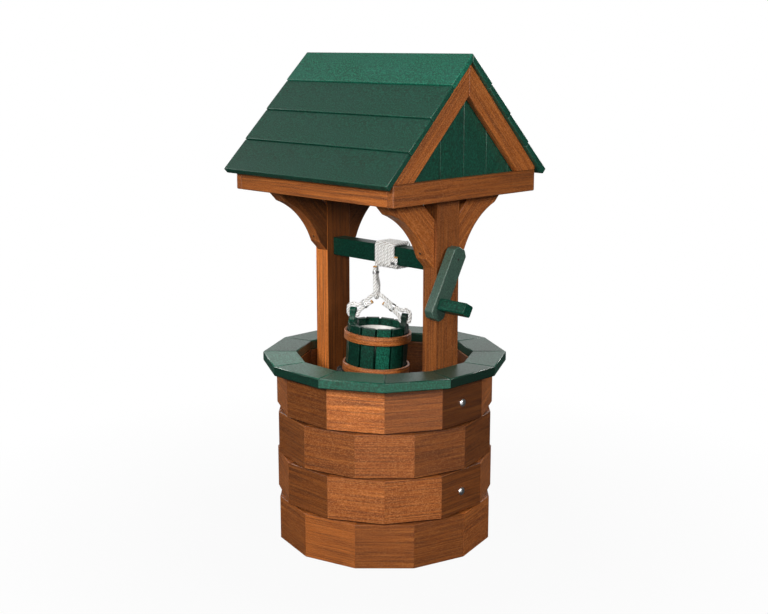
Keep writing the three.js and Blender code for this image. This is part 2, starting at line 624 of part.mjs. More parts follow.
// Route of the rope on the spindle: up the front face, back over the top, down behind and
// forward underneath. It moves along by one pitch on each turn, behind the front face.
function windingRoute() {
  const halfHigh = SPINDLE_HIGH / 2;
  const halfDeep = SPINDLE_DEEP / 2;
  const corners = [
    { y: -halfDeep, z: halfHigh, from: Math.PI },
    { y: halfDeep, z: halfHigh, from: Math.PI / 2 },
    { y: halfDeep, z: -halfHigh, from: 0 },
    { y: -halfDeep, z: -halfHigh, from: -Math.PI / 2 },
  ];
  const place = (turn, y, z) => {
    const x = WRAP_START + turn * WRAP_PITCH;
    return new THREE.Vector3(x, y, SPINDLE_AXIS_HIGH + z);
  };
  const points = [place(0, -halfDeep - ROPE_OFFSET, -halfHigh)];
  points.push(place(0, -halfDeep - ROPE_OFFSET, -halfHigh + ROPE_DIAMETER));
  for (let turn = 0; turn < WRAPS; turn += 1) {
    corners.forEach((corner, quarter) => {
      for (let step = 0; step <= CORNER_STEPS; step += 1) {
        const angle = corner.from - (step / CORNER_STEPS) * (Math.PI / 2);
        const along = (quarter + step / CORNER_STEPS) / corners.length;
        const y = corner.y + ROPE_OFFSET * Math.cos(angle);
        points.push(place(turn + along, y, corner.z + ROPE_OFFSET * Math.sin(angle)));
      }
    });
  }
  points.push(place(WRAPS, -halfDeep - ROPE_OFFSET, -halfHigh + WRAP_TIP_RISE));
  return points;
}

// Least distance between the surfaces of turns that lie side by side. Places that are only a
// few rope diameters apart along the route belong to the same turn.
function leastGap(points) {
  const sameTurn = 4;
  const fine = [];
  for (let index = 0; index < points.length - 1; index += 1) {
    for (let step = 0; step < CORNER_STEPS; step += 1) {
      fine.push(points[index].clone().lerp(points[index + 1], step / CORNER_STEPS));
    }
  }
  const lengths = [0];
  for (let index = 1; index < fine.length; index += 1) {
    lengths.push(lengths[index - 1] + fine[index].distanceTo(fine[index - 1]));
  }
  let least = Infinity;
  for (let here = 0; here < fine.length; here += 1) {
    for (let there = here + 1; there < fine.length; there += 1) {
      if (lengths[there] - lengths[here] > sameTurn * ROPE_DIAMETER) {
        least = Math.min(least, fine[here].distanceTo(fine[there]));
      }
    }
  }
  return least - ROPE_DIAMETER;
}

// A clip pressed round two lengths of rope that lie side by side. `along` is the rope's
// direction and `across` points from one length to the other.
function clip(centre, along, across, spacing, ropes, cutters = []) {
  const radius = ROPE_RADIUS + SEAT + CLIP_WALL;
  const shape = new THREE.Shape();
  shape.absarc(spacing / 2, 0, radius, -Math.PI / 2, Math.PI / 2);
  shape.absarc(-spacing / 2, 0, radius, Math.PI / 2, 1.5 * Math.PI);
  const flat = new THREE.Shape(shape.getPoints(ARC_STEPS / 2));
  const geometry = raise(flat, -CLIP_LONG / 2, CLIP_LONG / 2);
  const square = across.clone().addScaledVector(along, -across.dot(along)).normalize();
  const normal = new THREE.Vector3().crossVectors(along, square);
  geometry.applyMatrix4(new THREE.Matrix4().makeBasis(square, normal, along));
  geometry.translate(...centre.toArray());
  return cut(geometry, [...ropes, ...cutters]);
}

// A free length of rope through chosen points, and the same route swollen to cut its clips.
function ropeThrough(points, steps, radius = ROPE_RADIUS) {
  const extrudePath = new THREE.CatmullRomCurve3(points, false, "centripetal");
  const section = new THREE.Shape(notchedPolygon(radius, ROPE_FACETS, 0, 0, 0));
  return new THREE.ExtrudeGeometry(section, { steps, extrudePath, bevelEnabled: false });
}

function buildWinding() {
  const route = windingRoute();
  console.log("least gap of the winding to itself, mm:", leastGap(route).toFixed(2));
  add("rope_winding", sweep(route, ROPE_RADIUS, WRAP_FACETS), "rope");
  const swollen = sweep(route, ROPE_RADIUS + SEAT, WRAP_FACETS);
  // The clip holds the last two turns where they cross the spindle's front face.
  const betweenTurns = WRAP_START + (WRAPS - 0.5) * WRAP_PITCH;
  const height = SPINDLE_AXIS_HIGH - SPINDLE_HIGH / 2 + CLIP_LONG / 2;
  const behind = box(-POST_IN, POST_IN, DROP_Y, POST_IN, FLOOR_TOP, RIDGE_HIGH);
  const across = new THREE.Vector3(1, 0, 0);
  const centre = new THREE.Vector3(betweenTurns, DROP_Y, height);
  add("clip_winding", clip(centre, UP, across, WRAP_PITCH, [swollen], [behind]), "steel");
}

// The rope below the spindle: a single length, then an eye that holds the bail. Down to the
// clip the rope's end lies beside it, and below the clip the two lengths pass before and
// behind the bail.
function buildDropAndEye() {
  const place = (angleDeg, out, height) => {
    const angle = THREE.MathUtils.degToRad(angleDeg);
    const x = WRAP_START + out * Math.cos(angle);
    return new THREE.Vector3(x, DROP_Y + out * Math.sin(angle), height);
  };
  const drop = [place(0, 0, DROP_TOP), place(0, 0, EYE_TOP + SEAT)];
  add("rope_drop", sweep(drop, ROPE_RADIUS, ROPE_FACETS), "rope");

  const beside = ROPE_DIAMETER + ROPE_PLAY;
  const apart = ROPE_DIAMETER + 2 * ROPE_PLAY;
  const atBail = BUCKET_TURN_DEG + 90;
  const length = EYE_TOP - EYE_BOTTOM;
  // Share of the way down, of the turn toward the bail, and of the bulge.
  const legShares = [
    [0.2, 0, 0],
    [0.34, 0.2, 0.4],
    [0.56, 0.85, 1],
  ];
  const leg = (side) => {
    const upper = side > 0 ? 0 : -beside;
    const points = legShares.map(([down, turned, bulged]) => {
      const turn = EYE_TURN_DEG + turned * (atBail - EYE_TURN_DEG);
      const out = upper + turned * (side * apart - upper) + side * bulged * EYE_BULGE;
      return place(turn, out, EYE_TOP - down * length);
    });
    const diagonal = apart * Math.SQRT1_2;
    points.push(place(atBail, side * apart, EYE_BOTTOM + apart));
    points.push(place(atBail, side * diagonal, EYE_BOTTOM + apart - diagonal));
    return points;
  };
  const points = [
    place(EYE_TURN_DEG, 0, EYE_TOP),
    ...leg(1),
    place(atBail, 0, EYE_BOTTOM),
    ...leg(-1).reverse(),
    place(EYE_TURN_DEG, -beside, EYE_TOP + EYE_TIP_RISE),
  ];
  add("rope_eye", ropeThrough(points, EYE_STEPS), "rope");
  const across = place(EYE_TURN_DEG, 1, 0).sub(place(EYE_TURN_DEG, 0, 0));
  const clipHigh = EYE_TOP + EYE_TIP_RISE - EYE_CLIP_DROP - CLIP_LONG / 2;
  const centre = place(EYE_TURN_DEG, -beside / 2, clipHigh);
  const swollen = ropeThrough(points, EYE_STEPS, ROPE_RADIUS + SEAT);
  add("clip_eye", clip(centre, UP, across, beside, [swollen]), "steel");
}

// The bucket's own frame: middle of the bucket, +X toward one ear.
const bucket = new THREE.Group();
bucket.position.set(WRAP_START, DROP_Y, BUCKET_MIDDLE);
const leanAxis = new THREE.Vector3(-1, 1, 0).normalize();
bucket.quaternion
  .setFromAxisAngle(leanAxis, THREE.MathUtils.degToRad(BUCKET_LEAN_DEG))
  .multiply(new THREE.Quaternion().setFromAxisAngle(UP, THREE.MathUtils.degToRad(BUCKET_TURN_DEG)));
part.add(bucket);

// Outline of an ear in Y and Z: a foot as wide as its stave, hollow shoulders, a neck and a
// round top.
function earOutline() {
  const neck = EAR_NECK / 2;
  const base = HALF_BUCKET - STAVE_NOTCH_DEEP;
  const foot = STAVE_FACE * Math.tan(Math.PI / STAVES) - STAVE_NOTCH;
  const hollow = [foot - neck, EAR_SHOULDER_HIGH];
  const middle = HALF_BUCKET + EAR_SHOULDER_HIGH;
  const quarter = Math.PI / 2;
  const shape = new THREE.Shape();
  shape.moveTo(foot, base);
  shape.lineTo(foot, HALF_BUCKET);
  shape.absellipse(foot, middle, ...hollow, -quarter, -Math.PI, true);
  shape.absarc(0, EAR_TOP - neck, neck, 0, Math.PI);
  shape.absellipse(-foot, middle, ...hollow, 0, -quarter, true);
  shape.lineTo(-foot, base);
  return new THREE.Shape(shape.getPoints(ARC_STEPS / 2));
}

// An ear narrows toward the bucket's middle, as the mitred stave that it is part of does.
function buildEar(from, to) {
  const ear = alongX(earOutline(), from, to);
  const place = ear.attributes.position;
  for (let index = 0; index < place.count; index += 1) {
    place.setY(index, (place.getY(index) * Math.abs(place.getX(index))) / STAVE_FACE);
  }
  return ear;
}

function buildBucket() {
  const turn = Math.PI / STAVES;
  const innerRadius = STAVE_INNER_FACE / Math.cos(turn);
  const ring = new THREE.Shape(notchedPolygon(STAVE_RADIUS, STAVES, turn, STAVE_NOTCH, STAVE_NOTCH_DEEP));
  ring.holes.push(new THREE.Path(notchedPolygon(innerRadius, STAVES, turn, 0, 0)));
  let staves = toSolid(raise(ring, -HALF_BUCKET, HALF_BUCKET));
  for (const bounds of [[STAVE_INNER_FACE, STAVE_FACE], [-STAVE_FACE, -STAVE_INNER_FACE]]) {
    staves = staves.add(toSolid(buildEar(...bounds)));
  }
  const reach = STAVE_RADIUS + OVERRUN;
  const hole = bar(ROPE_OFFSET + SEAT, -reach, reach, 0, EAR_HOLE, SMALL_FACETS);
  add("bucket_staves", toGeometry(staves.subtract(toSolid(hole))), "green", bucket);

  const bottomRadius = (STAVE_INNER_FACE - SEAT) / Math.cos(turn);
  const bottomShape = new THREE.Shape(notchedPolygon(bottomRadius, STAVES, turn, 0, 0));
  const bottomFrom = BOTTOM_RISE - HALF_BUCKET;
  add("bucket_bottom", raise(bottomShape, bottomFrom, bottomFrom + BOTTOM_THICK), "green", bucket);

  const outer = STAVE_INNER_FACE - SEAT;
  const inner = outer - LINER_WALL;
  const low = bottomFrom + BOTTOM_THICK + SEAT;
  const high = HALF_BUCKET - LINER_DROP;
  const floor = low + LINER_WALL;
  const profile = [[0, low], [outer, low], [outer, high], [inner, high], [inner, floor], [0, floor]];
  const points = profile.map(([out, up]) => new THREE.Vector2(out, up));
  const liner = new THREE.LatheGeometry(points, ROUND_FACETS);
  add("bucket_liner", liner.rotateX(Math.PI / 2), "white", bucket);

  const hoopInner = (STAVE_RADIUS + SEAT) / Math.cos(Math.PI / HOOP_FACETS);
  const hoopOuter = hoopInner + HOOP_THICK;
  const hoops = [
    ["hoop_upper", HALF_BUCKET - UPPER_HOOP_DROP - HOOP_HIGH],
    ["hoop_lower", LOWER_HOOP_RISE - HALF_BUCKET],
  ];
  for (const [name, from] of hoops) {
    const hoop = new THREE.Shape(notchedPolygon(hoopOuter, HOOP_FACETS, 0, 0, 0));
    hoop.holes.push(new THREE.Path(notchedPolygon(hoopInner, HOOP_FACETS, 0, 0, 0)));
    add(name, raise(hoop, from, from + HOOP_HIGH), "brown", bucket);
  }
}

// The bail: one rope from ear to ear through the eye. Each end passes over its ear, comes
// back in through the hole and is clipped to itself.
function buildBail() {
  const grip = new THREE.Vector3(0, 0, BAIL_HIGH - BUCKET_MIDDLE);
  grip.applyQuaternion(bucket.quaternion.clone().invert());
  const outerX = STAVE_FACE;
  const innerX = STAVE_INNER_FACE;
  const bend = ROPE_OFFSET + SEAT;
  const diagonal = bend * Math.SQRT1_2;
  const spacing = ROPE_DIAMETER + 2 * ROPE_PLAY;
  const setback = bend + BAIL_SETBACK;
  // Places along the free length, as shares of it: the clip, what the rope needs on each side
  // of the clip to run straight through it, and the rope's end.
  const clipShare = 0.27;
  const straightShare = 0.12;
  const tipShare = 0.62;

  const halfRoute = (side) => {
    const shoulder = new THREE.Vector3(side * (innerX - bend), 0, EAR_TOP + bend);
    const toGrip = grip.clone().sub(shoulder);
    const direction = toGrip.clone().normalize();
    const below = direction.clone().cross(new THREE.Vector3(0, side, 0)).normalize();
    const main = (share) => shoulder.clone().addScaledVector(toGrip, share);
    const under = (share) => main(share).addScaledVector(below, spacing);
    const point = (x, z) => new THREE.Vector3(side * x, 0, z);
    const hole = EAR_HOLE + bend;
    return {
      clipAt: main(clipShare).addScaledVector(below, spacing / 2),
      direction,
      below,
      points: [
        under(tipShare),
        under(clipShare + straightShare),
        under(clipShare - straightShare),
        point(innerX - setback, hole + bend),
        point(innerX - diagonal, hole - diagonal),
        point(innerX, EAR_HOLE),
        point(outerX, EAR_HOLE),
        point(outerX + diagonal, hole - diagonal),
        point(outerX + bend, hole),
        point(outerX + bend, EAR_TOP),
        point(outerX + diagonal, EAR_TOP + diagonal),
        point(outerX, EAR_TOP + bend),
        point((outerX + innerX) / 2, EAR_TOP + bend + BAIL_ARCH),
        point(innerX, EAR_TOP + bend),
        main(clipShare - straightShare),
        main(clipShare + straightShare),
      ],
    };
  };
  const left = halfRoute(-1);
  const right = halfRoute(1);
  const points = [...left.points, grip, ...right.points.reverse()];
  add("rope_bail", ropeThrough(points, BAIL_STEPS), "rope", bucket);
  const swollen = ropeThrough(points, BAIL_STEPS, ROPE_RADIUS + SEAT);
  for (const [name, half] of [["left", left], ["right", right]]) {
    const ring = clip(half.clipAt, half.direction, half.below, spacing, [swollen]);
    add(`clip_bail_${name}`, ring, "steel", bucket);
  }
}

buildWall();
buildFloor();
buildPostsAndBraces();
buildBolts();
buildRoofFrame();
buildRoof();
buildSpindle();
buildCrank();
buildWinding();
buildDropAndEye();
buildBucket();
buildBail();

export default part;
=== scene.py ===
"""A wishing well planter of plastic lumber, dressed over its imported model.

Metres, +Z up, ground at z = 0. +X runs along the ridge toward the crank, and -Y is the front.
The camera stands off between +X and -Y.
"""
import math
import random

import bmesh
import bpy
import numpy as np
from mathutils import Matrix, Vector


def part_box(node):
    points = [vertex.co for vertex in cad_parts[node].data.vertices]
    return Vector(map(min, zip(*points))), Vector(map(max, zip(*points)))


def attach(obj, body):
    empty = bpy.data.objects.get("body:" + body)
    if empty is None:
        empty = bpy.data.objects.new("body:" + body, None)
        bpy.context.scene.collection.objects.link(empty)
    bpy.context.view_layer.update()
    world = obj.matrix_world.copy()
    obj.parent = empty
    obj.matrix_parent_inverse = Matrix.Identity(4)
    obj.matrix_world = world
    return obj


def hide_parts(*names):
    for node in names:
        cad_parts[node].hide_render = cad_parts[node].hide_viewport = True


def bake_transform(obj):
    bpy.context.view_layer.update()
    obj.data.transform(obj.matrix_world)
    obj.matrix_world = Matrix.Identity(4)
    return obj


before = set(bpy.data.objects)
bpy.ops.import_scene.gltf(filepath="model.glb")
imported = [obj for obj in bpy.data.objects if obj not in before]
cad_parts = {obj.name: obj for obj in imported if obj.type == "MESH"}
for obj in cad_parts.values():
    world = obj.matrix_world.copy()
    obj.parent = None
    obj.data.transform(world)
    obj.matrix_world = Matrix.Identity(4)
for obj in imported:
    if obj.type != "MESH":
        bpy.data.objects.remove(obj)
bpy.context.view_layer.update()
rng = random.Random(11)
MM = 0.001
UP = Vector((0, 0, 1))
MINUS_Y = Vector((0, -1, 0))

CAP_LOW, CAP_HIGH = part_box("cap_ring")
OX = (CAP_LOW.x + CAP_HIGH.x) / 2  # of the well's own axis
SIDES = 12
HALF = math.pi / SIDES  # half the turn from one side to the next
QUARTER = math.pi / 2


def link(thing):
    bpy.context.scene.collection.objects.link(thing)
    return thing


def outward(azimuth):
    """Level direction at an azimuth, counted from +X toward +Y in degrees."""
    angle = math.radians(azimuth)
    return Vector((math.cos(angle), math.sin(angle), 0))


# Camera

CAMERA_PLACE = (2.3363, -2.3510, 1.3463)
CAMERA_DOWN = 12.0  # degrees
CAMERA_ROUND = 45.05  # degrees from +Y toward -X
SENSOR_WIDE, LENS = 36, 58.19  # millimetres


def set_camera():
    data = bpy.data.cameras.new("camera")
    data.sensor_width = SENSOR_WIDE
    data.lens = LENS
    data.clip_end = 60
    camera = link(bpy.data.objects.new("camera", data))
    camera.location = CAMERA_PLACE
    camera.rotation_euler = (math.radians(90 - CAMERA_DOWN), 0, math.radians(CAMERA_ROUND))
    bpy.context.scene.camera = camera


# Materials

class Nodes:
    """Short hand for a node tree."""

    def __init__(self, tree):
        self.tree = tree

    def node(self, kind, settings=None, **inputs):
        node = self.tree.nodes.new(kind)
        for key, value in (settings or {}).items():
            setattr(node, key, value)
        for key, value in inputs.items():
            self.plug(node.inputs[key.replace("_", " ")], value)
        return node

    def plug(self, socket, value):
        if isinstance(value, bpy.types.NodeSocket):
            self.tree.links.new(value, socket)
        else:
            socket.default_value = value

    def math(self, operation, first, second=0.0):
        node = self.node("ShaderNodeMath", {"operation": operation})
        self.plug(node.inputs[0], first)
        self.plug(node.inputs[1], second)
        return node.outputs[0]

    def vector(self, operation, first, second=None, output="Vector"):
        node = self.node("ShaderNodeVectorMath", {"operation": operation})
        self.plug(node.inputs[0], first)
        if second is not None:
            self.plug(node.inputs[1], second)
        return node.outputs[output]

    def spread(self, value, low, high, to_low=0.0, to_high=1.0):
        node = self.node("ShaderNodeMapRange", {"clamp": True}, Value=value, From_Min=low,
                         From_Max=high, To_Min=to_low, To_Max=to_high)
        return node.outputs[0]


TONE_SPAN = 2.4


class Shader(Nodes):
    """One material, over the grain that each piece carries."""

    def __init__(self, name):
        self.material = bpy.data.materials.new(name)
        self.material.use_nodes = True
        super().__init__(self.material.node_tree)
        self.surface = self.tree.nodes["Principled BSDF"]
        self.grain = self.node("ShaderNodeAttribute", {"attribute_name": "grain"}).outputs["Vector"]

    def tone(self):
        return self.node("ShaderNodeAttribute", {"attribute_name": "tone"}).outputs["Fac"]

    def noise(self, scale, detail=3, roughness=0.6):
        node = self.node("ShaderNodeTexNoise", Vector=self.vector("MULTIPLY", self.grain, scale),
                         Scale=1.0, Detail=detail, Roughness=roughness)
        return node.outputs["Fac"]

    def gained(self, color):
        """The colour, lighter or darker by powers of two as the piece's tone leaves 0.5."""
        beyond = self.math("MULTIPLY", self.math("SUBTRACT", self.tone(), 0.5), TONE_SPAN)
        node = self.node("ShaderNodeVectorMath", {"operation": "SCALE"},
                         Scale=self.math("POWER", 2.0, beyond))
        self.plug(node.inputs[0], color)
        return node.outputs[0]

    def ramp(self, value, stops):
        node = self.node("ShaderNodeValToRGB", Fac=value)
        ramp = node.color_ramp
        while len(ramp.elements) < len(stops):
            ramp.elements.new(0.5)
        for element, (place, color) in zip(ramp.elements, stops):
            element.position = place
            element.color = (*color, 1)
        return node.outputs["Color"]

    def mix(self, share, first, second):
        node = self.node("ShaderNodeMix", {"data_type": "RGBA"})
        self.plug(node.inputs[0], share)
        for socket, color in ((node.inputs[6], first), (node.inputs[7], second)):
            self.plug(socket, color if isinstance(color, bpy.types.NodeSocket) else (*color, 1))
        return node.outputs[2]

    def bump(self, height, distance, strength):
        node = self.node("ShaderNodeBump", Height=height, Distance=distance, Strength=strength)
        return node.outputs["Normal"]

    def finish(self, **inputs):
        for key, value in inputs.items():
            self.plug(self.surface.inputs[key.replace("_", " ")], value)
        return self.material


def brown_lumber():
    """Streaked plastic lumber: long dark streaks, fine fibres and a sandy emboss."""
    s = Shader("brown_lumber")
    streak = s.noise((6, 165, 165), 5, 0.66)
    band = s.noise((3, 34, 34), 3, 0.5)
    line = s.noise((4, 330, 330), 2, 0.5)
    fibre = s.noise((60, 800, 800))
    sand = s.noise((420, 560, 560), 2, 0.6)
    color = s.ramp(streak, [
        (0.36, (0.120, 0.025, 0.0030)),
        (0.45, (0.250, 0.060, 0.0065)),
        (0.54, (0.345, 0.090, 0.0110)),
        (0.66, (0.480, 0.150, 0.0270)),
    ])
    color = s.mix(s.spread(band, 0.36, 0.64, 0.0, 0.45), color, (0.245, 0.062, 0.0080))
    color = s.mix(s.spread(line, 0.34, 0.49, 0.88, 0.0), color, (0.085, 0.020, 0.0040))
    color = s.mix(s.spread(fibre, 0.30, 0.52, 0.52, 0.0), color, (0.090, 0.024, 0.0050))
    color = s.mix(s.spread(sand, 0.50, 0.66, 0.0, 0.60), color, (0.560, 0.230, 0.0800))
    color = s.mix(s.spread(sand, 0.34, 0.50, 0.55, 0.0), color, (0.150, 0.036, 0.0050))
    height = s.math("ADD", s.math("MULTIPLY", fibre, 0.6), s.math("MULTIPLY", sand, 0.4))
    return s.finish(Base_Color=s.gained(color), Roughness=s.spread(fibre, 0.3, 0.7, 0.50, 0.38),
                    Specular_IOR_Level=0.42, Normal=s.bump(height, 0.0013, 0.7))


def green_lumber(name="green_lumber", sheen=0.62, painted_sheen=0.0):
    """Green plastic lumber with a pebbled emboss; its last setting mixes in a grey that is a
    painted sheen.
    """
    s = Shader(name)
    pebble = s.noise((240, 300, 300))
    brushed = s.noise((14, 480, 480))
    cloud = s.noise((12, 18, 18), 3, 0.5)
    color = s.ramp(pebble, [
        (0.36, (0.0008, 0.020, 0.0110)),
        (0.50, (0.0016, 0.051, 0.0290)),
        (0.64, (0.0100, 0.108, 0.0660)),
    ])
    color = s.mix(s.spread(brushed, 0.34, 0.50, 0.45, 0.0), color, (0.0012, 0.028, 0.0180))
    color = s.mix(s.spread(cloud, 0.38, 0.68, 0.0, 0.30), color, (0.0080, 0.062, 0.0440))
    color = s.gained(color)
    # Painted sheen: a pale grey mixed into the colour, in place of a reflection.
    color = s.mix(s.spread(pebble, 0.36, 0.64, 0.5 * painted_sheen, painted_sheen), color, (0.160, 0.150, 0.140))
    height = s.math("ADD", s.math("MULTIPLY", pebble, 0.75), s.math("MULTIPLY", brushed, 0.25))
    return s.finish(Base_Color=color, Roughness=s.spread(pebble, 0.3, 0.7, 0.46, 0.33),
                    Specular_IOR_Level=sheen, Specular_Tint=(1.0, 0.97, 0.88, 1),
                    Normal=s.bump(height, 0.0010, 0.5))


def rope_fibre():
    """Twisted rope: the fibres of each strand run across it, and its valleys carry painted shade.

    The grain has the way along the strand and the share of the way round it. The tone is the
    place's distance from the rope's middle, as a share of the rope's radius.
    """
    s = Shader("rope_fibre")
    axes = s.node("ShaderNodeSeparateXYZ", Vector=s.grain)
    turns = s.math("SUBTRACT", s.math("MULTIPLY", axes.outputs["X"], 420.0),
                   s.math("MULTIPLY", axes.outputs["Y"], 5.0))
    wave = s.math("SINE", s.math("MULTIPLY", turns, math.tau))
    fuzz = s.noise((900, 6, 6))
    color = s.mix(s.spread(wave, -1.0, 1.0), (0.94, 0.93, 0.90), (0.985, 0.98, 0.97))
    color = s.mix(s.spread(fuzz, 0.35, 0.65, 0.16, 0.0), color, (0.78, 0.70, 0.58))
    # Painted shade in the valleys between strands, by the tone.
    color = s.mix(s.spread(s.tone(), 0.68, 0.88, 1.0, 0.0), color, (0.220, 0.150, 0.085))
    height = s.math("ADD", s.math("MULTIPLY", wave, 0.5), fuzz)
    return s.finish(Base_Color=color, Roughness=s.spread(fuzz, 0.3, 0.7, 0.66, 0.84),
                    Specular_IOR_Level=0.25, Normal=s.bump(height, 0.0004, 0.7))


def melted_tip():
    """End of a rope that was sealed with a flame."""
    s = Shader("melted_tip")
    blot = s.noise((420, 420, 420))
    color = s.ramp(blot, [
        (0.38, (0.25, 0.080, 0.015)),
        (0.52, (0.74, 0.360, 0.090)),
        (0.64, (0.90, 0.680, 0.380)),
    ])
    return s.finish(Base_Color=color, Roughness=s.spread(blot, 0.3, 0.7, 0.25, 0.45),
                    Normal=s.bump(blot, 0.0006, 0.6))


def stainless():
    """Polished fasteners; the ones inside the wall, with a low tone, get painted shade: near black,
    and rougher.
    """
    s = Shader("stainless")
    tone = s.tone()
    brushed = s.noise((300, 2600, 2600))
    cloud = s.noise((90, 90, 90), 2, 0.5)
    color = s.mix(s.spread(cloud, 0.35, 0.7), (0.80, 0.80, 0.80), (0.93, 0.925, 0.91))
    # Painted shade: a low tone mixes the steel toward near black.
    color = s.mix(s.spread(tone, 0.1, 0.5, 0.88, 0.0), color, (0.060, 0.052, 0.045))
    rough = s.math("ADD", s.spread(brushed, 0.3, 0.7, 0.22, 0.38),
                   s.spread(tone, 0.1, 0.5, 0.38, 0.0))
    return s.finish(Base_Color=color, Metallic=1.0, Roughness=rough,
                    Normal=s.bump(brushed, 0.00012, 0.4))


def liner_plastic():
    """Smooth white moulding."""
    s = Shader("liner_plastic")
    cloud = s.noise((30, 30, 30), 3, 0.5)
    ripple = s.noise((240, 240, 240), 2, 0.5)
    color = s.mix(s.spread(cloud, 0.3, 0.7), (0.80, 0.77, 0.71), (0.87, 0.85, 0.81))
    return s.finish(Base_Color=color, Roughness=s.spread(ripple, 0.3, 0.7, 0.34, 0.46),
                    Normal=s.bump(ripple, 0.0003, 0.25))


def screw_recess():
    """The shadowed screw and its hole."""
    s = Shader("screw_recess")
    dust = s.noise((700, 700, 700))
    color = s.mix(s.spread(dust, 0.3, 0.7), (0.006, 0.006, 0.006), (0.035, 0.028, 0.022))
    return s.finish(Base_Color=color, Roughness=s.spread(dust, 0.3, 0.7, 0.5, 0.8))


FINISH = {
    "brown_lumber": brown_lumber(),
    "green_lumber": green_lumber(),
    "rope": rope_fibre(),
    "tip": melted_tip(),
    "stainless": stainless(),
    "liner": liner_plastic(),
    "recess": screw_recess(),
    "stave": green_lumber("green_stave", sheen=0.22),
    # The crank arm's finish, with a painted grey sheen.
    "sheened": green_lumber("green_sheened", painted_sheen=0.32),
}
SLOT_OF = {"tip": "rope", "recess": "stainless", "stave": "green_lumber", "sheened": "green_lumber"}


# Light

# Softboxes: azimuth, height, distance, size and watts.
LAMPS = {
    "key_left": (-78, 1.95, 3.1, (0.6, 0.7), 74),
    "key_right": (-5, 1.85, 3.1, (0.5, 0.6), 44),
    "front": (-47, 1.75, 3.9, (0.9, 0.6), 42),
    "back_left": (178, 1.5, 3.3, (0.9, 0.7), 36),
    "back_right": (96, 1.9, 3.3, (0.9, 0.7), 36),
}
LAMPS_AIM = Vector((0, 0, 0.7))
# A mirror sees the white backdrop behind the well, two softboxes, a window and a lamp above.
# Each has its direction, the cosine from it where it begins and where it is full, and its level.
MIRRORED = (
    ((-0.69, 0.69, 0.22), 0.68, 0.90, 1.0),
    ((0.26, -0.97, 0.0), 0.88, 0.96, 1.0),
    ((0.97, -0.26, 0.0), 0.88, 0.96, 1.0),
    ((-0.69, -0.54, 0.47), 0.88, 0.96, 1.0),
    ((-0.1, -0.15, 0.98), 0.90, 0.96, 0.9),
)
MIRRORED_REST = 0.05
ROOM_LEVEL = 0.035


def light_scene():
    """The lamps, and a world that is white to the camera and a studio to mirrors."""
    for name, (azimuth, height, distance, size, power) in LAMPS.items():
        data = bpy.data.lights.new(name, "AREA")
        data.shape = "RECTANGLE"
        data.size, data.size_y = size
        data.energy = power
        light = link(bpy.data.objects.new(name, data))
        light.location = distance * outward(azimuth) + height * UP
        light.rotation_euler = (LAMPS_AIM - light.location).to_track_quat("-Z", "Y").to_euler()
    world = bpy.data.worlds.new("studio")
    bpy.context.scene.world = world
    world.use_nodes = True
    s = Nodes(world.node_tree)
    background = s.tree.nodes["Background"]
    background.inputs["Color"].default_value = (1, 1, 1, 1)
    path = s.node("ShaderNodeLightPath").outputs
    facing = s.node("ShaderNodeTexCoord").outputs["Generated"]
    white = None
    for toward, edge, full, bright in MIRRORED:
        cosine = s.vector("DOT_PRODUCT", facing, toward, "Value")
        zone = s.spread(cosine, edge, full, MIRRORED_REST, bright)
        white = zone if white is None else s.math("MAXIMUM", white, zone)
    seen = s.math("MAXIMUM", path["Is Camera Ray"], path["Is Transmission Ray"])
    seen = s.math("MAXIMUM", seen, s.math("MULTIPLY", path["Is Glossy Ray"], white))
    s.plug(background.inputs["Strength"], s.math("MAXIMUM", seen, ROOM_LEVEL))
    bpy.context.scene.view_settings.view_transform = "Standard"


FLOOR_REACH, FLOOR_DROP = 14, 0.6 * MM
FLOOR_GREY = (0.18, 0.18, 0.18, 1)
POOLS = [2.2 * outward(azimuth) for azimuth in (-75, -15)]


def lay_floor():
    """A white floor in a dim studio, with a pool of light in front on either side."""
    mesh = bpy.data.meshes.new("studio_floor")
    reach = FLOOR_REACH
    corners = [(-reach, -reach, 0), (reach, -reach, 0), (reach, reach, 0), (-reach, reach, 0)]
    mesh.from_pydata(corners, [], [(0, 1, 2, 3)])
    floor = link(bpy.data.objects.new("studio_floor", mesh))
    floor.location.z = -FLOOR_DROP
    material = bpy.data.materials.new("studio_floor")
    material.use_nodes = True
    s = Nodes(material.node_tree)
    s.tree.nodes.remove(s.tree.nodes["Principled BSDF"])
    place = s.node("ShaderNodeTexCoord").outputs["Object"]
    pool = s.math("MINIMUM", *(s.vector("DISTANCE", place, pool, "Value") for pool in POOLS))
    away = s.vector("LENGTH", place, output="Value")
    matte = s.node("ShaderNodeBsdfDiffuse", Color=FLOOR_GREY)
    path = s.node("ShaderNodeLightPath")
    camera, glossy = path.outputs["Is Camera Ray"], path.outputs["Is Glossy Ray"]
    # The camera sees white with the well's own soft shadow; a mirror sees the pools of light.
    white = s.math("MULTIPLY", camera, s.spread(away, 0.5, 1.5, 0.95, 1.0))
    mirrored = s.math("MULTIPLY", glossy, s.spread(pool, 0.9, 1.4, 1.0, 0.04))
    glow = s.node("ShaderNodeEmission", Strength=s.math("MAXIMUM", camera, mirrored))
    blend = s.node("ShaderNodeMixShader", Fac=s.math("MAXIMUM", white, glossy))
    s.plug(blend.inputs[1], matte.outputs[0])
    s.plug(blend.inputs[2], glow.outputs[0])
    s.plug(s.tree.nodes["Material Output"].inputs["Surface"], blend.outputs[0])
    mesh.materials.append(material)


# Building in mesh code

SHARP = 0.5  # radians between two faces, from which their edge is eased
FACING = 0.6  # least part of a normal along an axis for a face that looks along it
ALL_ROUND = 24


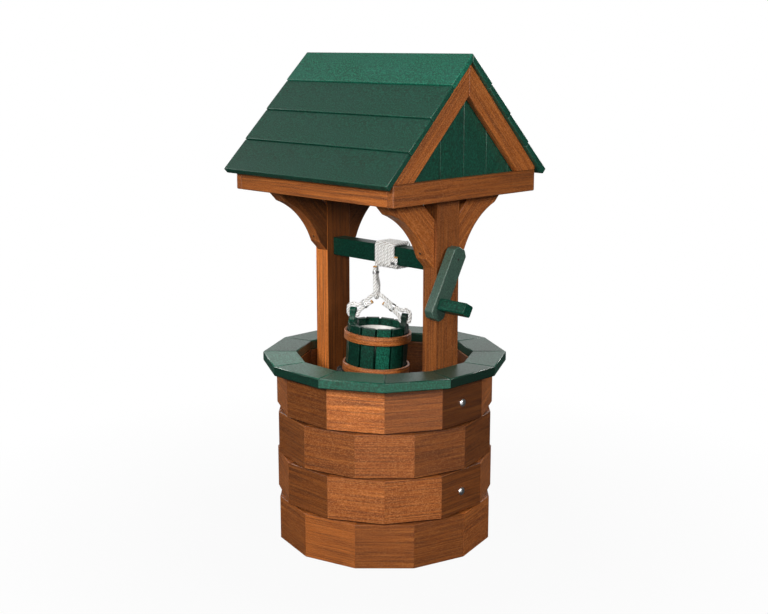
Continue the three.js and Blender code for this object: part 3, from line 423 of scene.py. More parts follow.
class Pile:
    """Gathers solids into one mesh, each with its grain direction and its tone."""

    def __init__(self):
        self.places, self.faces, self.smooth = [], [], []
        self.grain, self.tone = [], []

    def put(self, bm, matrix=Matrix.Identity(4), along=0, tone=0.5, grain=None):
        """Adds a solid. `tone` is a number or a function of the vertex."""
        start = len(self.places)
        shift = [rng.uniform(-9, 9) for _ in range(3)]
        order = [along, (along + 1) % 3, (along + 2) % 3]
        bm.verts.index_update()
        bm.normal_update()
        for vert in bm.verts:
            self.places.append(matrix @ vert.co)
            own = vert.co if grain is None else grain(vert.co)
            self.grain.append([own[order[axis]] + shift[axis] for axis in range(3)])
            self.tone.append(tone(vert) if callable(tone) else tone)
        for face in bm.faces:
            self.faces.append([vert.index + start for vert in face.verts])
            self.smooth.append(face.smooth)
        bm.free()
        return self

    def put_rings(self, rings, grain, matrix=Matrix.Identity(4), closed=False, tone=0.5):
        """A tube through rings of points. `grain` has one (x, y, z) for each point."""
        start = len(self.places)
        count, sides = len(rings), len(rings[0])
        tones = tone if isinstance(tone, list) else [[tone] * sides] * count
        for ring, own, shades in zip(rings, grain, tones):
            for place, value, shade in zip(ring, own, shades):
                self.places.append(matrix @ Vector(place))
                self.grain.append(list(value))
                self.tone.append(shade)
        last = count if closed else count - 1
        for index in range(last):
            here = start + index * sides
            there = start + ((index + 1) % count) * sides
            for side in range(sides):
                after = (side + 1) % sides
                self.faces.append([here + side, here + after, there + after, there + side])
                self.smooth.append(True)
        if not closed:
            self.faces.append([start + side for side in reversed(range(sides))])
            self.faces.append([start + (count - 1) * sides + side for side in range(sides)])
            self.smooth += [False, False]
        return self

    def make(self, name, body, finish, replaces=()):
        mesh = bpy.data.meshes.new(name)
        mesh.from_pydata([tuple(place) for place in self.places], [], self.faces)
        mesh.polygons.foreach_set("use_smooth", self.smooth)
        grain = mesh.attributes.new("grain", "FLOAT_VECTOR", "POINT")
        grain.data.foreach_set("vector", [value for own in self.grain for value in own])
        tone = mesh.attributes.new("tone", "FLOAT", "POINT")
        tone.data.foreach_set("value", self.tone)
        mesh.materials.append(FINISH[finish])
        mesh.validate()
        piece = link(bpy.data.objects.new(name, mesh))
        if body is not None:
            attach(piece, body)
        SLOT_OF.get(finish, finish)
        if replaces:
            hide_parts(*replaces)
        return piece


def bevel(bm, edges, width, segments):
    made = bmesh.ops.bevel(bm, geom=edges, offset=width, offset_type="OFFSET",
                           segments=segments, profile=0.5, affect="EDGES", clamp_overlap=True)
    for face in made["faces"]:
        face.smooth = True


def ease(bm, width, segments=2, least_angle=SHARP):
    """Rounds the edges between faces that meet at an angle."""
    bmesh.ops.recalc_face_normals(bm, faces=bm.faces)
    edges = [edge for edge in bm.edges
             if len(edge.link_faces) == 2 and edge.calc_face_angle(0) > least_angle]
    bevel(bm, edges, width, segments)
    return bm


def ease_block(bm, width, upright):
    """Rounds a block's level edges by one width and its upright ones by another."""
    bmesh.ops.recalc_face_normals(bm, faces=bm.faces)
    for size, wants_upright in ((width, False), (upright, True)):
        edges = []
        for edge in bm.edges:
            if len(edge.link_faces) != 2 or edge.calc_face_angle(0) < SHARP:
                continue
            run = edge.verts[1].co - edge.verts[0].co
            steep = abs(run.z) > 0.95 * run.length
            # The rounding of the level edges leaves short steep ones that stay sharp.
            stays = steep and width <= run.length <= 6 * width
            if steep == wants_upright and not stays:
                edges.append(edge)
        bevel(bm, edges, size, 2)
    return bm


def circle(radius, sides, height=None, start=0.0):
    """Points of a circle in X and Y, and at a height where one is given."""
    level = () if height is None else (height,)
    return [(radius * math.cos(start + math.tau * k / sides),
             radius * math.sin(start + math.tau * k / sides), *level) for k in range(sides)]


def arc(centre, radii, start, end, steps):
    """Points on part of an ellipse, from one angle to another."""
    turns = [start + (end - start) * step / steps for step in range(steps + 1)]
    return [(centre[0] + radii[0] * math.cos(turn), centre[1] + radii[1] * math.sin(turn))
            for turn in turns]


def prism(outline, low, high):
    """An outline in X and Y, raised from one height to another."""
    bm = bmesh.new()
    bottom = [bm.verts.new((x, y, low)) for x, y in outline]
    top = [bm.verts.new((x, y, high)) for x, y in outline]
    bm.faces.new(list(reversed(bottom)))
    bm.faces.new(top)
    count = len(outline)
    for index in range(count):
        after = (index + 1) % count
        bm.faces.new([bottom[index], bottom[after], top[after], top[index]])
    bmesh.ops.recalc_face_normals(bm, faces=bm.faces)
    return bm


def cylinder(radius, low, high, sides=ALL_ROUND, centre=(0, 0)):
    """A round bar along Z."""
    outline = [(x + centre[0], y + centre[1]) for x, y in circle(radius, sides)]
    return prism(outline, low, high)


def lathe(pile, profile, matrix, sides=36, tone=0.5, closed=False):
    """A profile of (radius, height) turned round its own Z."""
    rings = [circle(max(radius, 1e-5), sides, height) for radius, height in profile]
    return pile.put_rings(rings, rings, matrix, closed, tone)


def carve(bm, cutter):
    """Cuts one solid out of another."""
    objects = []
    for part in (bm, cutter):
        mesh = bpy.data.meshes.new("carving")
        part.to_mesh(mesh)
        part.free()
        objects.append(link(bpy.data.objects.new("carving", mesh)))
    whole, tool = objects
    modifier = whole.modifiers.new("cut", "BOOLEAN")
    modifier.operation = "DIFFERENCE"
    modifier.solver = "EXACT"
    modifier.object = tool
    evaluated = whole.evaluated_get(bpy.context.evaluated_depsgraph_get())
    result = bmesh.new()
    result.from_mesh(evaluated.to_mesh())
    evaluated.to_mesh_clear()
    for carving in objects:
        mesh = carving.data
        bpy.data.objects.remove(carving)
        bpy.data.meshes.remove(mesh)
    return result


SAME_POINT = 4e-6
SAME_FACE = math.radians(0.6)


def from_node(name):
    """A workable copy of a node's solid."""
    bm = bmesh.new()
    bm.from_mesh(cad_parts[name].data)
    bmesh.ops.remove_doubles(bm, verts=bm.verts, dist=SAME_POINT)
    bmesh.ops.dissolve_limit(bm, angle_limit=SAME_FACE, verts=bm.verts, edges=bm.edges)
    for face in bm.faces:
        face.smooth = False
    return bm


def toned(rest, *sides):
    """A tone for a vertex: that of the first direction that it looks along, or else the rest."""
    def tone(vert):
        for direction, own in sides:
            if vert.normal.dot(direction) > FACING:
                return own
        return rest
    return tone


def board(name, width, along, tone=0.5, segments=2, turn=None, body="well",
          finish="brown_lumber"):
    """Dresses a board with the node's own outline and eased edges."""
    bm = ease(from_node(name), width, segments)
    grain = None if turn is None else (lambda place: turn @ place)
    return Pile().put(bm, along=along, tone=tone, grain=grain).make(
        name + "_board", body, finish, [name])


def axes_matrix(x_axis, y_axis, z_axis, origin=(0, 0, 0)):
    matrix = Matrix.Identity(4)
    for column, axis in enumerate((x_axis, y_axis, z_axis, origin)):
        for row in range(3):
            matrix[row][column] = axis[row]
    return matrix


def upon(axis, place):
    """The frame of something that stands on a face."""
    side = axis.orthogonal().normalized()
    return axes_matrix(side, axis.cross(side), axis, place)


# A solid that is drawn in the world's Y and Z and raised along X.
ALONG_X = axes_matrix((0, 1, 0), (0, 0, 1), (1, 0, 0))


# The wall

COURSES = 4
COURSE_HIGH = 122 * MM
COURSE_FACE = 298.7 * MM * math.cos(HALF)
COURSE_INNER_FACE = COURSE_FACE - 54 * MM
COURSE_CLEAR = 0.4 * MM
COURSE_JOINT = 4.4 * MM
JOINT_SETBACK = 9 * MM
JOINT_UNDER, JOINT_OVER = 4.7 * MM, 1.8 * MM  # of the strip of painted shade in the joint, from the block's underside
MITRE_GAP = -0.02 * MM  # below zero, so that no light comes through
# How far the tone drops for painted shade on the blocks' inner faces and on the strips in the
# joints.
SHADE_DROP = 0.6
# Tone of each block by the azimuth of its face, from the lowest course up: partly the block's own
# colour, partly painted light and shade for how each face is lit. Others are drawn.
BLOCK_TONE_AND_LIGHT = {
    1: {-45: 0.42, -15: 0.36, -75: 0.73, -105: 0.54, 15: 0.70},
    2: {-30: 0.60, -60: 0.62, 0: 0.26, -90: 0.38, 30: 0.68, -120: 0.65},
    3: {-45: 0.57, -15: 0.28, -75: 0.47, -105: 0.33, 15: 0.22},
    4: {-30: 0.43, -60: 0.77, 0: -0.05, -90: 0.26, 30: 0.68, -120: 0.60},
}


def mitred(outer, inner, low, high, gap, turn):
    """One block of a ring: its face looks along +Y of its own frame, its length is along X."""
    half = math.tan(HALF)
    outline = [(-outer * half + gap, outer), (-inner * half + gap, inner),
               (inner * half - gap, inner), (outer * half - gap, outer)]
    radial = outward(turn)
    return prism(outline, low, high), axes_matrix(radial.cross(UP), radial, UP, (OX, 0, 0))


def build_wall():
    for course in range(1, COURSES + 1):
        low = (course - 1) * COURSE_HIGH + COURSE_JOINT * (course > 1)
        high = course * COURSE_HIGH - COURSE_CLEAR
        first = 0 if course % 2 == 0 else 15
        pile = Pile()
        for index in range(SIDES):
            turn = first + 30 * index
            turn = turn - 360 if turn > 180 else turn
            tone = BLOCK_TONE_AND_LIGHT[course].get(turn, rng.uniform(0.40, 0.60))
            bm, matrix = mitred(COURSE_FACE, COURSE_INNER_FACE, low, high, MITRE_GAP, turn)
            # Each block's inner face gets painted shade.
            pile.put(ease_block(bm, 1.6 * MM, 0.8 * MM), matrix, 0,
                     toned(tone, (MINUS_Y, tone - SHADE_DROP)))
            if course > 1:
                # A strip of painted shade in the joint under each block.
                bm, matrix = mitred(COURSE_FACE - JOINT_SETBACK, COURSE_INNER_FACE + JOINT_SETBACK,
                                    low - JOINT_UNDER, low + JOINT_OVER, 0, turn)
                pile.put(bm, matrix, 0, -SHADE_DROP)
        pile.make(f"course_{course}_blocks", "well", "brown_lumber", [f"course_{course}"])


CAP_WIDE = 88.9 * MM
# Painted light and shade on the cap: tones of its fronts by azimuth, a painted sheen on its tops by
# azimuth, and painted shade on its inner faces.
CAP_FRONT_LIGHT = {-30: 0.70, -60: 0.66, 0: -0.14, -90: 0.14}
CAP_TOP_SHEEN = {-120: 1.0, -90: 0.84, -60: 0.80, -30: 0.38, 0: 0.34, 30: 0.58, 60: 0.44}
CAP_INNER_SHADE = 0.1
CAP_SCREW = (OX + 60 * MM, -250 * MM, CAP_HIGH.z)


def build_cap():
    outer = CAP_HIGH.y
    low, high = CAP_LOW.z + 0.3 * MM, CAP_HIGH.z
    pile = Pile()
    for index in range(SIDES):
        turn = 30 * index if index <= 6 else 30 * index - 360
        bm, matrix = mitred(outer, outer - CAP_WIDE, low, high, MITRE_GAP, turn)
        # One board's front, top and inner face carry painted light, painted sheen and painted
        # shade.
        tone = toned(CAP_FRONT_LIGHT.get(turn, 0.5), (UP, CAP_TOP_SHEEN.get(turn, 0.5)),
                     (MINUS_Y, CAP_INNER_SHADE))
        pile.put(ease_block(bm, 3.0 * MM, 0.03 * MM), matrix, 0, tone)
    pile.make("cap_boards", "well", "green_lumber", ["cap_ring"])
    screw(CAP_SCREW, UP, "cap_screw", "well")


# Section of the ring round a screw: shares of its radius, and heights in millimetres.
SCREW_RING = ((1.0, -0.5), (1.0, 0.12), (0.5, 0.15), (0.4, -0.4))


def screw(place, normal, name, body, radius=3.0 * MM):
    """A countersunk screw: a dark ring round a dark head, both nearly flush with the face."""
    matrix = upon(Vector(normal).normalized(), place)
    section = [(across * radius, rise * MM) for across, rise in SCREW_RING]
    ring = lathe(Pile(), section, matrix, ALL_ROUND, closed=True)
    ring.make(name + "_recess", body, "recess")
    head = cylinder(radius * 0.48, -0.4 * MM, 0.17 * MM)
    Pile().put(head, matrix, 0).make(name + "_head", body, "recess")


def build_floor():
    for name, count, along in (("cleat", 2, 0), ("slat", 5, 1)):
        for index in range(1, count + 1):
            board(f"floor_{name}_{index}", 2 * MM, along, rng.uniform(0.1, 0.3))


# Posts, braces and bolts

ENDS = ((-1, "left"), (1, "right"))
FACES = ((-1, "front"), (1, "back"))
POST_IN = 183.28 * MM
HALF_POST = 41.8 * MM
BRACE_THICK = 40 * MM
BRACE_FOOT = 779.0 * MM
BRACE_TOP = 976.3 * MM
BRACE_DEPTH = 90 * MM
SCALLOP_START = 126.6 * MM  # from the foot to the scallop's middle, along the board
SCALLOP_RADIUS = 213 * MM
SCALLOP_RISE = 19 * MM
SCALLOP_STEPS = 28
BRACE_SCREW_OUT, BRACE_SCREW_UP = 33.6 * MM, 41.6 * MM  # from the post and the brace's foot


def brace_outline():
    """A board at 45 degrees between post and beam, with a hollow along its lower edge."""
    start, foot, top = HALF_POST + 0.3 * MM, BRACE_FOOT, BRACE_TOP
    depth = BRACE_DEPTH * math.sqrt(2)
    along = SCALLOP_START / math.sqrt(2)
    setback = (SCALLOP_RADIUS - SCALLOP_RISE) / math.sqrt(2)
    centre = (start + along + setback, foot + along - setback)
    half_angle = math.acos(1 - SCALLOP_RISE / SCALLOP_RADIUS)
    middle = 1.5 * QUARTER
    return [(start, foot),
            *arc(centre, (SCALLOP_RADIUS, SCALLOP_RADIUS), middle + half_angle,
                 middle - half_angle, SCALLOP_STEPS),
            (start + top - foot, top), (start + top - foot - depth, top), (start, foot + depth)]


def build_posts():
    for side, name in ENDS:
        # The left post is a lighter board, seen on its front face; its other faces get painted
        # shade.
        tone = 0.40 if side > 0 else toned(0.24, (MINUS_Y, 1.0))
        board(f"post_{name}", 2.4 * MM, 2, tone)
        low, high = sorted((side * POST_IN, side * (POST_IN + BRACE_THICK)))
        for way, face in FACES:
            outline = [(way * y, z) for y, z in brace_outline()]
            bm = ease(prism(outline, low + OX, high + OX), 2.2 * MM)
            lean = Matrix.Rotation(-way * math.radians(45), 4, "Z")
            piece = f"brace_{name}_{face}"
            # The left ones have painted shade on the face toward +X, which is the outline's own Z.
            tone = 0.64 if side > 0 else toned(0.64, (UP, 0.16))
            Pile().put(bm, ALONG_X, 0, tone, lambda place, lean=lean: lean @ place).make(
                piece + "_board", "well", "brown_lumber", [piece])
    # A screw through each brace, square to the lower end of its scallop.
    for side, name in ENDS:
        for way, face in FACES:
            place = (OX + side * (POST_IN + BRACE_THICK / 2), way * (HALF_POST + BRACE_SCREW_OUT),
                     BRACE_FOOT + BRACE_SCREW_UP)
            screw(place, (0, way * 0.908, -0.42), f"brace_{name}_{face}_screw", "well", 3.6 * MM)


BOLT_HEIGHTS = ((183 * MM, "lower"), (427 * MM, "upper"))
BOLT_RADIUS = 4.75 * MM
HEAD_RADIUS, HEAD_HIGH, HEAD_EDGE = 11 * MM, 5.5 * MM, 0.7 * MM
HEAD_STEPS = 10
WASHER_TOP = 2.2 * MM
WASHER = [(5.2 * MM, 0.3 * MM), (12.5 * MM, 0.3 * MM), (12.5 * MM, 1.9 * MM),
          (12.0 * MM, WASHER_TOP), (5.2 * MM, WASHER_TOP)]
NUT_RADIUS, NUT_LOW, NUT_HIGH = 8 * MM, 2.3 * MM, 10.3 * MM
THREAD_STEP, THREAD_STEPS, THREAD_ROOT = 0.5 * MM, 24, 4.2 * MM
SHADED_STEEL_TONE = 0.1  # tone of the steel inside the wall, which paints it near black as shade


def build_bolts():
    """Carriage bolts from the wall's face through each post, with a washer and a nut inside."""
    dome = (HEAD_RADIUS * 0.985, HEAD_HIGH - HEAD_EDGE)
    head = [(BOLT_RADIUS, -24 * MM), (BOLT_RADIUS, 0), (HEAD_RADIUS, 0), (HEAD_RADIUS, HEAD_EDGE),
            *arc((0, HEAD_EDGE), dome, 0, QUARTER, HEAD_STEPS)[1:]]
    thread = [(BOLT_RADIUS, -(COURSE_FACE - POST_IN) * 0.5)]
    for step in range(THREAD_STEPS):
        thread.append((BOLT_RADIUS if step % 2 else THREAD_ROOT, WASHER_TOP + THREAD_STEP * step))
    thread.append((3.4 * MM, 14.3 * MM))
    for side, name in ENDS:
        for height, level in BOLT_HEIGHTS:
            outer, inner = (
                axes_matrix((0, 1, 0), (0, 0, way), (way, 0, 0), (OX + side * reach, 0, height))
                for way, reach in ((side, COURSE_FACE), (-side, POST_IN)))
            pile = Pile()
            lathe(pile, head, outer)
            lathe(pile, WASHER, inner, tone=SHADED_STEEL_TONE)
            nut = prism(circle(NUT_RADIUS, 6), NUT_LOW, NUT_HIGH)
            pile.put(ease(nut, 0.6 * MM), inner, tone=SHADED_STEEL_TONE)
            lathe(pile, thread, inner, ALL_ROUND, SHADED_STEEL_TONE)
            node = f"bolt_{name}_{level}"
            pile.make(node + "_fastener", "well", "stainless", [node])


# Roof

ROOF_PITCH = math.radians(45.56)
# Each slope with its way round, its rafters' tone and its boards' tones from the ridge down.
SLOPES = (
    ("front", 1, 0.66, (0.99, 0.53, 0.50, 0.42)),
    ("back", -1, 0.60, (0.60, 0.52, 0.50, 0.54)),
)


def build_roof():
    for name in ("front", "back"):
        board(f"fascia_{name}", 2.4 * MM, 0, lambda vert: 0.60 + 0.3 * vert.co.x)
    for name in ("left", "right"):
        board(f"fascia_{name}", 3.2 * MM, 1, lambda vert: 0.46 - 0.2 * vert.co.y, 3)
        board(f"head_plate_{name}", 2 * MM, 1, 0.45)
    turns = {slope: Matrix.Rotation(-way * ROOF_PITCH, 4, "X") for slope, way, _, _ in SLOPES}
    for end in ("left", "right"):
        for slope, _, tone, _ in SLOPES:
            board(f"rafter_{end}_{slope}", 2.2 * MM, 1, tone, 2, turns[slope])
    for slope, _, _, tones in SLOPES:
        for index, tone in enumerate(tones, 1):
            board(f"roof_{slope}_{index}", 2.8 * MM, 0, tone, 3, turns[slope],
                  finish="green_lumber")


GABLE_SEAMS = [(4 + step * 87) * MM for step in range(-2, 3)]
GABLE_HALF_SEAM = 0.6 * MM
GABLE_INSET = 3 * MM  # of the sheet that closes the open seams from within, painted dark as shade


def build_gables():
    for _, name in ENDS:
        low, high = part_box(f"gable_boards_{name}")
        peak, half = high.z, high.y
        fall = math.tan(ROOF_PITCH)
        edges = [-half, *GABLE_SEAMS, half]
        pile = Pile()
        for left, right in zip(edges, edges[1:]):
            a, b = left + GABLE_HALF_SEAM, right - GABLE_HALF_SEAM
            outline = [(a, low.z), (b, low.z), (b, peak - abs(b) * fall)]
            if a < 0 < b:
                outline.append((0, peak))
            outline.append((a, peak - abs(a) * fall))
            bm = ease(prism(outline, low.x, high.x), 1.8 * MM)
            pile.put(bm, ALONG_X, 1, rng.uniform(0.47, 0.53))
        edge, foot, eave = half - GABLE_INSET, low.z + GABLE_INSET, peak - half * fall
        outline = [(-edge, foot), (edge, foot), (edge, eave), (0, peak - 4 * MM), (-edge, eave)]
        # This sheet behind the seams has a low tone: painted shade.
        pile.put(prism(outline, low.x + 4 * MM, high.x - 4 * MM), ALONG_X, 1, 0.0)
        pile.make(f"gable_boards_{name}_set", "well", "green_lumber", [f"gable_boards_{name}"])


# Spindle and crank

AXIS_HIGH = 790.9 * MM
ARM_IN, ARM_OUT = OX + 239.28 * MM, OX + 267.28 * MM
ARM_HALF, ARM_CLIP = 25.5 * MM, 13 * MM  # half width, and its cut corners
ARM_OVER, ARM_LONG = 31 * MM, 199 * MM  # past its top screw, and in all
ARM_LEAN = math.radians(29)
ARM_SCREW = 12.9 * MM  # over the spindle's axis
ARM_TOP = Matrix.Translation((0, 0, AXIS_HIGH + ARM_SCREW)) @ Matrix.Rotation(-ARM_LEAN, 4, "X")
SOCKET_RADIUS = 16.3 * MM
HANDLE_UNDER = 127 * MM  # below the arm's top screw
HANDLE_HALF, HANDLE_CLIP = 15.25 * MM, 3 * MM


def octagon(half, low, high, clip):
    """A rectangle round X = 0 with its corners cut."""
    return [(-half, low + clip), (clip - half, low), (half - clip, low), (half, low + clip),
            (half, high - clip), (half - clip, high), (clip - half, high), (-half, high - clip)]


def build_crank():
    # The spindle's low tone darkens it: painted shade under the roof.
    board("spindle", 1.6 * MM, 0, 0.16, body="windlass", finish="stave")
    # In the arm's own frame the spindle's axis lies below the top screw, turned by the lean.
    axis = (ARM_SCREW * math.sin(ARM_LEAN), -ARM_SCREW * math.cos(ARM_LEAN))
    socket = cylinder(SOCKET_RADIUS, ARM_IN - 4 * MM, ARM_IN + 12 * MM, 40, axis)
    outline = octagon(ARM_HALF, ARM_OVER - ARM_LONG, ARM_OVER, ARM_CLIP)
    bm = ease(carve(prism(outline, ARM_IN, ARM_OUT), socket), 2.6 * MM, 3)
    Pile().put(bm, ARM_TOP @ ALONG_X, 1, 0.60).make(
        "crank_arm_board", "windlass", "sheened", ["crank_arm"])
    screw(ARM_TOP @ Vector((ARM_OUT, 0, 0)), (1, 0, 0), "crank_arm_screw", "windlass", 3.2 * MM)

    low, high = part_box("crank_handle")
    section = octagon(HANDLE_HALF, -HANDLE_HALF, HANDLE_HALF, HANDLE_CLIP)
    bm = ease(prism(section, low.x, high.x), 2.2 * MM, 3, 1.0)
    at = ARM_TOP @ Matrix.Translation((0, 0, -HANDLE_UNDER))
    Pile().put(bm, at @ ALONG_X, 2, 0.42).make(
        "crank_handle_bar", "windlass", "stave", ["crank_handle"])


# Rope

ROPE_RADIUS = 5.4 * MM
ROPE_OFFSET = 5.9 * MM  # from what it lies on to its middle
LAY = 27 * MM
STRANDS = 3
STRAND_OUT, STRAND_RADIUS, STRAND_SIDES = 2.60 * MM, 2.78 * MM, 14
STRAND_LONGER = 1.09  # than the rope, by its twist
STRAND_STEP = 1.6 * MM
DROP_STEP = 0.8 * MM
WRAPS, WRAP_PITCH = 6, 12.1 * MM
WRAP_START = OX - 3 * MM
WRAP_STEPS = 10
SPINDLE_HALF_HIGH = 24.5 * MM
SPINDLE_HALF_DEEP = 21 * MM
DROP_Y = -(SPINDLE_HALF_DEEP + ROPE_OFFSET)
DROP_TOP = AXIS_HIGH - SPINDLE_HALF_HIGH - 0.3 * MM
EYE_TOP = DROP_TOP - 16 * MM
EYE_BOTTOM = EYE_TOP - 86.1 * MM + ROPE_RADIUS
EYE_TURN = 110
EYE_BESIDE, EYE_APART, EYE_BULGE = 11.3 * MM, 11.8 * MM, 3 * MM
BUCKET_TURN = 26.4


def through(points, steps=24):
    """A smooth route through points: a centripetal spline, as plain coordinates."""
    points = [np.array(point, float) for point in points]
    ends = [2 * points[0] - points[1], *points, 2 * points[-1] - points[-2]]
    route = []
    for a, b, c, d in zip(ends, ends[1:], ends[2:], ends[3:]):
        gaps = [max(np.linalg.norm(q - p) ** 0.5, 1e-6) for p, q in ((a, b), (b, c), (c, d))]
        first = (b - a) / gaps[0] - (c - a) / (gaps[0] + gaps[1]) + (c - b) / gaps[1]
        second = (c - b) / gaps[1] - (d - b) / (gaps[1] + gaps[2]) + (d - c) / gaps[2]
        first, second = first * gaps[1], second * gaps[1]
        for step in range(steps):
            t = step / steps
            route.append(b + first * t + (3 * (c - b) - 2 * first - second) * t * t
                         + (2 * (b - c) + first + second) * t ** 3)
    route.append(points[-1])
    return np.array(route)


def evenly(route, step):
    """The same route in equal steps, and the way along it at each."""
    steps = np.linalg.norm(np.diff(route, axis=0), axis=1)
    lengths = np.concatenate([[0], np.cumsum(steps)])
    count = max(int(round(lengths[-1] / step)), 2)
    places = np.linspace(0, lengths[-1], count + 1)
    even = [np.interp(places, lengths, route[:, axis]) for axis in range(3)]
    return np.column_stack(even), places


def frames(route):
    """Two sides square to a route at each place, without twist."""
    ahead = np.gradient(route, axis=0)
    ahead /= np.linalg.norm(ahead, axis=1)[:, None]
    side = np.cross(ahead[0], (1, 0.13, 0.21))
    sides = []
    for direction in ahead:
        side = side - side.dot(direction) * direction
        side = side / np.linalg.norm(side)
        sides.append(side)
    sides = np.array(sides)
    return sides, np.cross(ahead, sides)


def tube(pile, route, lengths, shift, core):
    """A strand along its route. `core` is the rope's own middle beside each ring."""
    side, other = frames(route)
    rings, grain, tones = [], [], []
    for index, centre in enumerate(route):
        ring, own, shades = [], [], []
        for k in range(STRAND_SIDES):
            angle = math.tau * k / STRAND_SIDES
            place = centre + STRAND_RADIUS * (math.cos(angle) * side[index]
                                              + math.sin(angle) * other[index])
            ring.append(place)
            own.append((lengths[index] + shift, k / STRAND_SIDES, shift))
            # The tone is the distance from the rope's middle; the rope's finish paints shade in the
            # valleys by it.
            out = float(np.linalg.norm(place - core[index]))
            shades.append(min(out / (STRAND_OUT + STRAND_RADIUS), 1.0))
        rings.append(ring)
        grain.append(own)
        tones.append(shades)
    pile.put_rings(rings, grain, tone=tones)


def strands(route, lengths):
    """Three strands laid round a route."""
    side, other = frames(route)
    pile = Pile()
    for index in range(STRANDS):
        angles = math.tau * (lengths / LAY + index / STRANDS)
        centres = route + STRAND_OUT * (np.cos(angles)[:, None] * side
                                        + np.sin(angles)[:, None] * other)
        tube(pile, centres, lengths * STRAND_LONGER, 0.37 * index, route)
    return pile


def twisted(name, body, route):
    """A rope on its route. Returns the route in even steps."""
    route, lengths = evenly(route, STRAND_STEP)
    strands(route, lengths).make(name + "_strands", body, "rope", [name])
    return route


# Section of a melted tip: shares of the rope's radius, and millimetres past its end.
TIP = ((0.96, -2.2), (1.04, -0.6), (0.97, 0.5), (0.72, 1.5), (0.34, 1.9), (0, 2.0))


def seal(name, body, end, before):
    """The melted tip at the end of a rope."""
    matrix = upon((Vector(end) - Vector(before)).normalized(), end)
    section = [(ROPE_RADIUS * across, past * MM) for across, past in TIP]
    lathe(Pile(), section, matrix, 20).make(name, body, "tip")


def winding_route():
    """Up the spindle's front, then over its top, back and bottom, a pitch along in each turn."""
    corners = ((-1, 1), (1, 1), (1, -1), (-1, -1))
    bend = (ROPE_OFFSET, ROPE_OFFSET)
    points = []

    def place(turn, y, z):
        points.append((WRAP_START + turn * WRAP_PITCH, y, AXIS_HIGH + z))

    place(0, DROP_Y, -SPINDLE_HALF_HIGH)
    place(0, DROP_Y, -SPINDLE_HALF_HIGH + 10.8 * MM)
    for turn in range(WRAPS):
        for index, (deep, high) in enumerate(corners):
            corner = arc((deep * SPINDLE_HALF_DEEP, high * SPINDLE_HALF_HIGH), bend,
                         (2 - index) * QUARTER, (1 - index) * QUARTER, WRAP_STEPS)
            for step, (y, z) in enumerate(corner):
                place(turn + (index + step / WRAP_STEPS) / 4, y, z)
    place(WRAPS, DROP_Y, -SPINDLE_HALF_HIGH + 22.5 * MM)
    return np.array(points)


def eye_route():
    """Down from the spindle, under the bail and back up beside itself."""
    def place(angle, out, height):
        angle = math.radians(angle)
        return (WRAP_START + out * math.cos(angle), DROP_Y + out * math.sin(angle), height)

    at_bail = BUCKET_TURN + 90
    length = EYE_TOP - EYE_BOTTOM
    diagonal = EYE_APART * math.sqrt(0.5)

    def leg(side):
        upper = 0 if side > 0 else -EYE_BESIDE
        points = []
        # Share of the way down, of the turn toward the bail, and of the bulge.
        for down, turned, bulged in ((0.2, 0, 0), (0.34, 0.2, 0.4), (0.56, 0.85, 1)):
            out = upper + turned * (side * EYE_APART - upper) + side * bulged * EYE_BULGE
            points.append(place(EYE_TURN + turned * (at_bail - EYE_TURN), out,
                                EYE_TOP - down * length))
        points.append(place(at_bail, side * EYE_APART, EYE_BOTTOM + EYE_APART))
        points.append(place(at_bail, side * diagonal, EYE_BOTTOM + EYE_APART - diagonal))
        return points

    return through([place(EYE_TURN, 0, EYE_TOP), *leg(1), place(at_bail, 0, EYE_BOTTOM),
                    *reversed(leg(-1)), place(EYE_TURN, -EYE_BESIDE, EYE_TOP + 7 * MM)])


BAND_INNER = ROPE_RADIUS + 0.35 * MM
BAND_WALL, BAND_HALF, BAND_DISH = 1.1 * MM, 3.9 * MM, 0.35 * MM
BAND_ROUND, BAND_LIP = 0.5 * MM, 0.7 * MM
BAND_STEPS = 14


def crimp(node, body, centre, along, across, spacing):
    """A steel band pressed round two lengths of rope that lie side by side."""
    along = Vector(along).normalized()
    across = Vector(across)
    across = (across - across.dot(along) * along).normalized()
    matrix = axes_matrix(across, along.cross(across), along, centre)
    wall, half, dished = BAND_WALL, BAND_HALF, BAND_WALL - BAND_DISH
    section = [(0, -half + BAND_ROUND), (0, half - BAND_ROUND), (BAND_ROUND, half),
               (wall - BAND_ROUND, half), (wall, half - BAND_LIP), (dished, half * 0.35),
               (dished, -half * 0.35), (wall, -half + BAND_LIP), (wall - BAND_ROUND, -half),
               (BAND_ROUND, -half)]
    rings = []
    for side in (1, -1):
        for step in range(BAND_STEPS + 1):
            angle = side * math.pi / 2 - math.pi * step / BAND_STEPS
            rings.append([(side * spacing / 2 + (BAND_INNER + out) * math.cos(angle),
                           (BAND_INNER + out) * math.sin(angle), up) for out, up in section])
    pile = Pile().put_rings(rings, rings, matrix, closed=True)
    pile.make(node + "_band", body, "stainless", [node])


def build_ropes():
    route = twisted("rope_winding", "windlass", winding_route())
    seal("rope_winding_tip", "windlass", route[-1], route[-3])
    # This clip holds the last two turns where they cross the spindle's front face.
    middle = (WRAP_START + (WRAPS - 0.5) * WRAP_PITCH, DROP_Y,
              AXIS_HIGH - SPINDLE_HALF_HIGH + 5.5 * MM)
    crimp("clip_winding", "windlass", middle, UP, (1, 0, 0), WRAP_PITCH)
    build_drop()
    route = twisted("rope_eye", "eye", eye_route())
    seal("rope_eye_tip", "eye", route[-1], route[-3])
    across = outward(EYE_TURN)
    middle = Vector((WRAP_START, DROP_Y, EYE_TOP - 9 * MM)) - EYE_BESIDE / 2 * across
    crimp("clip_eye", "eye", middle, UP, across, EYE_BESIDE)


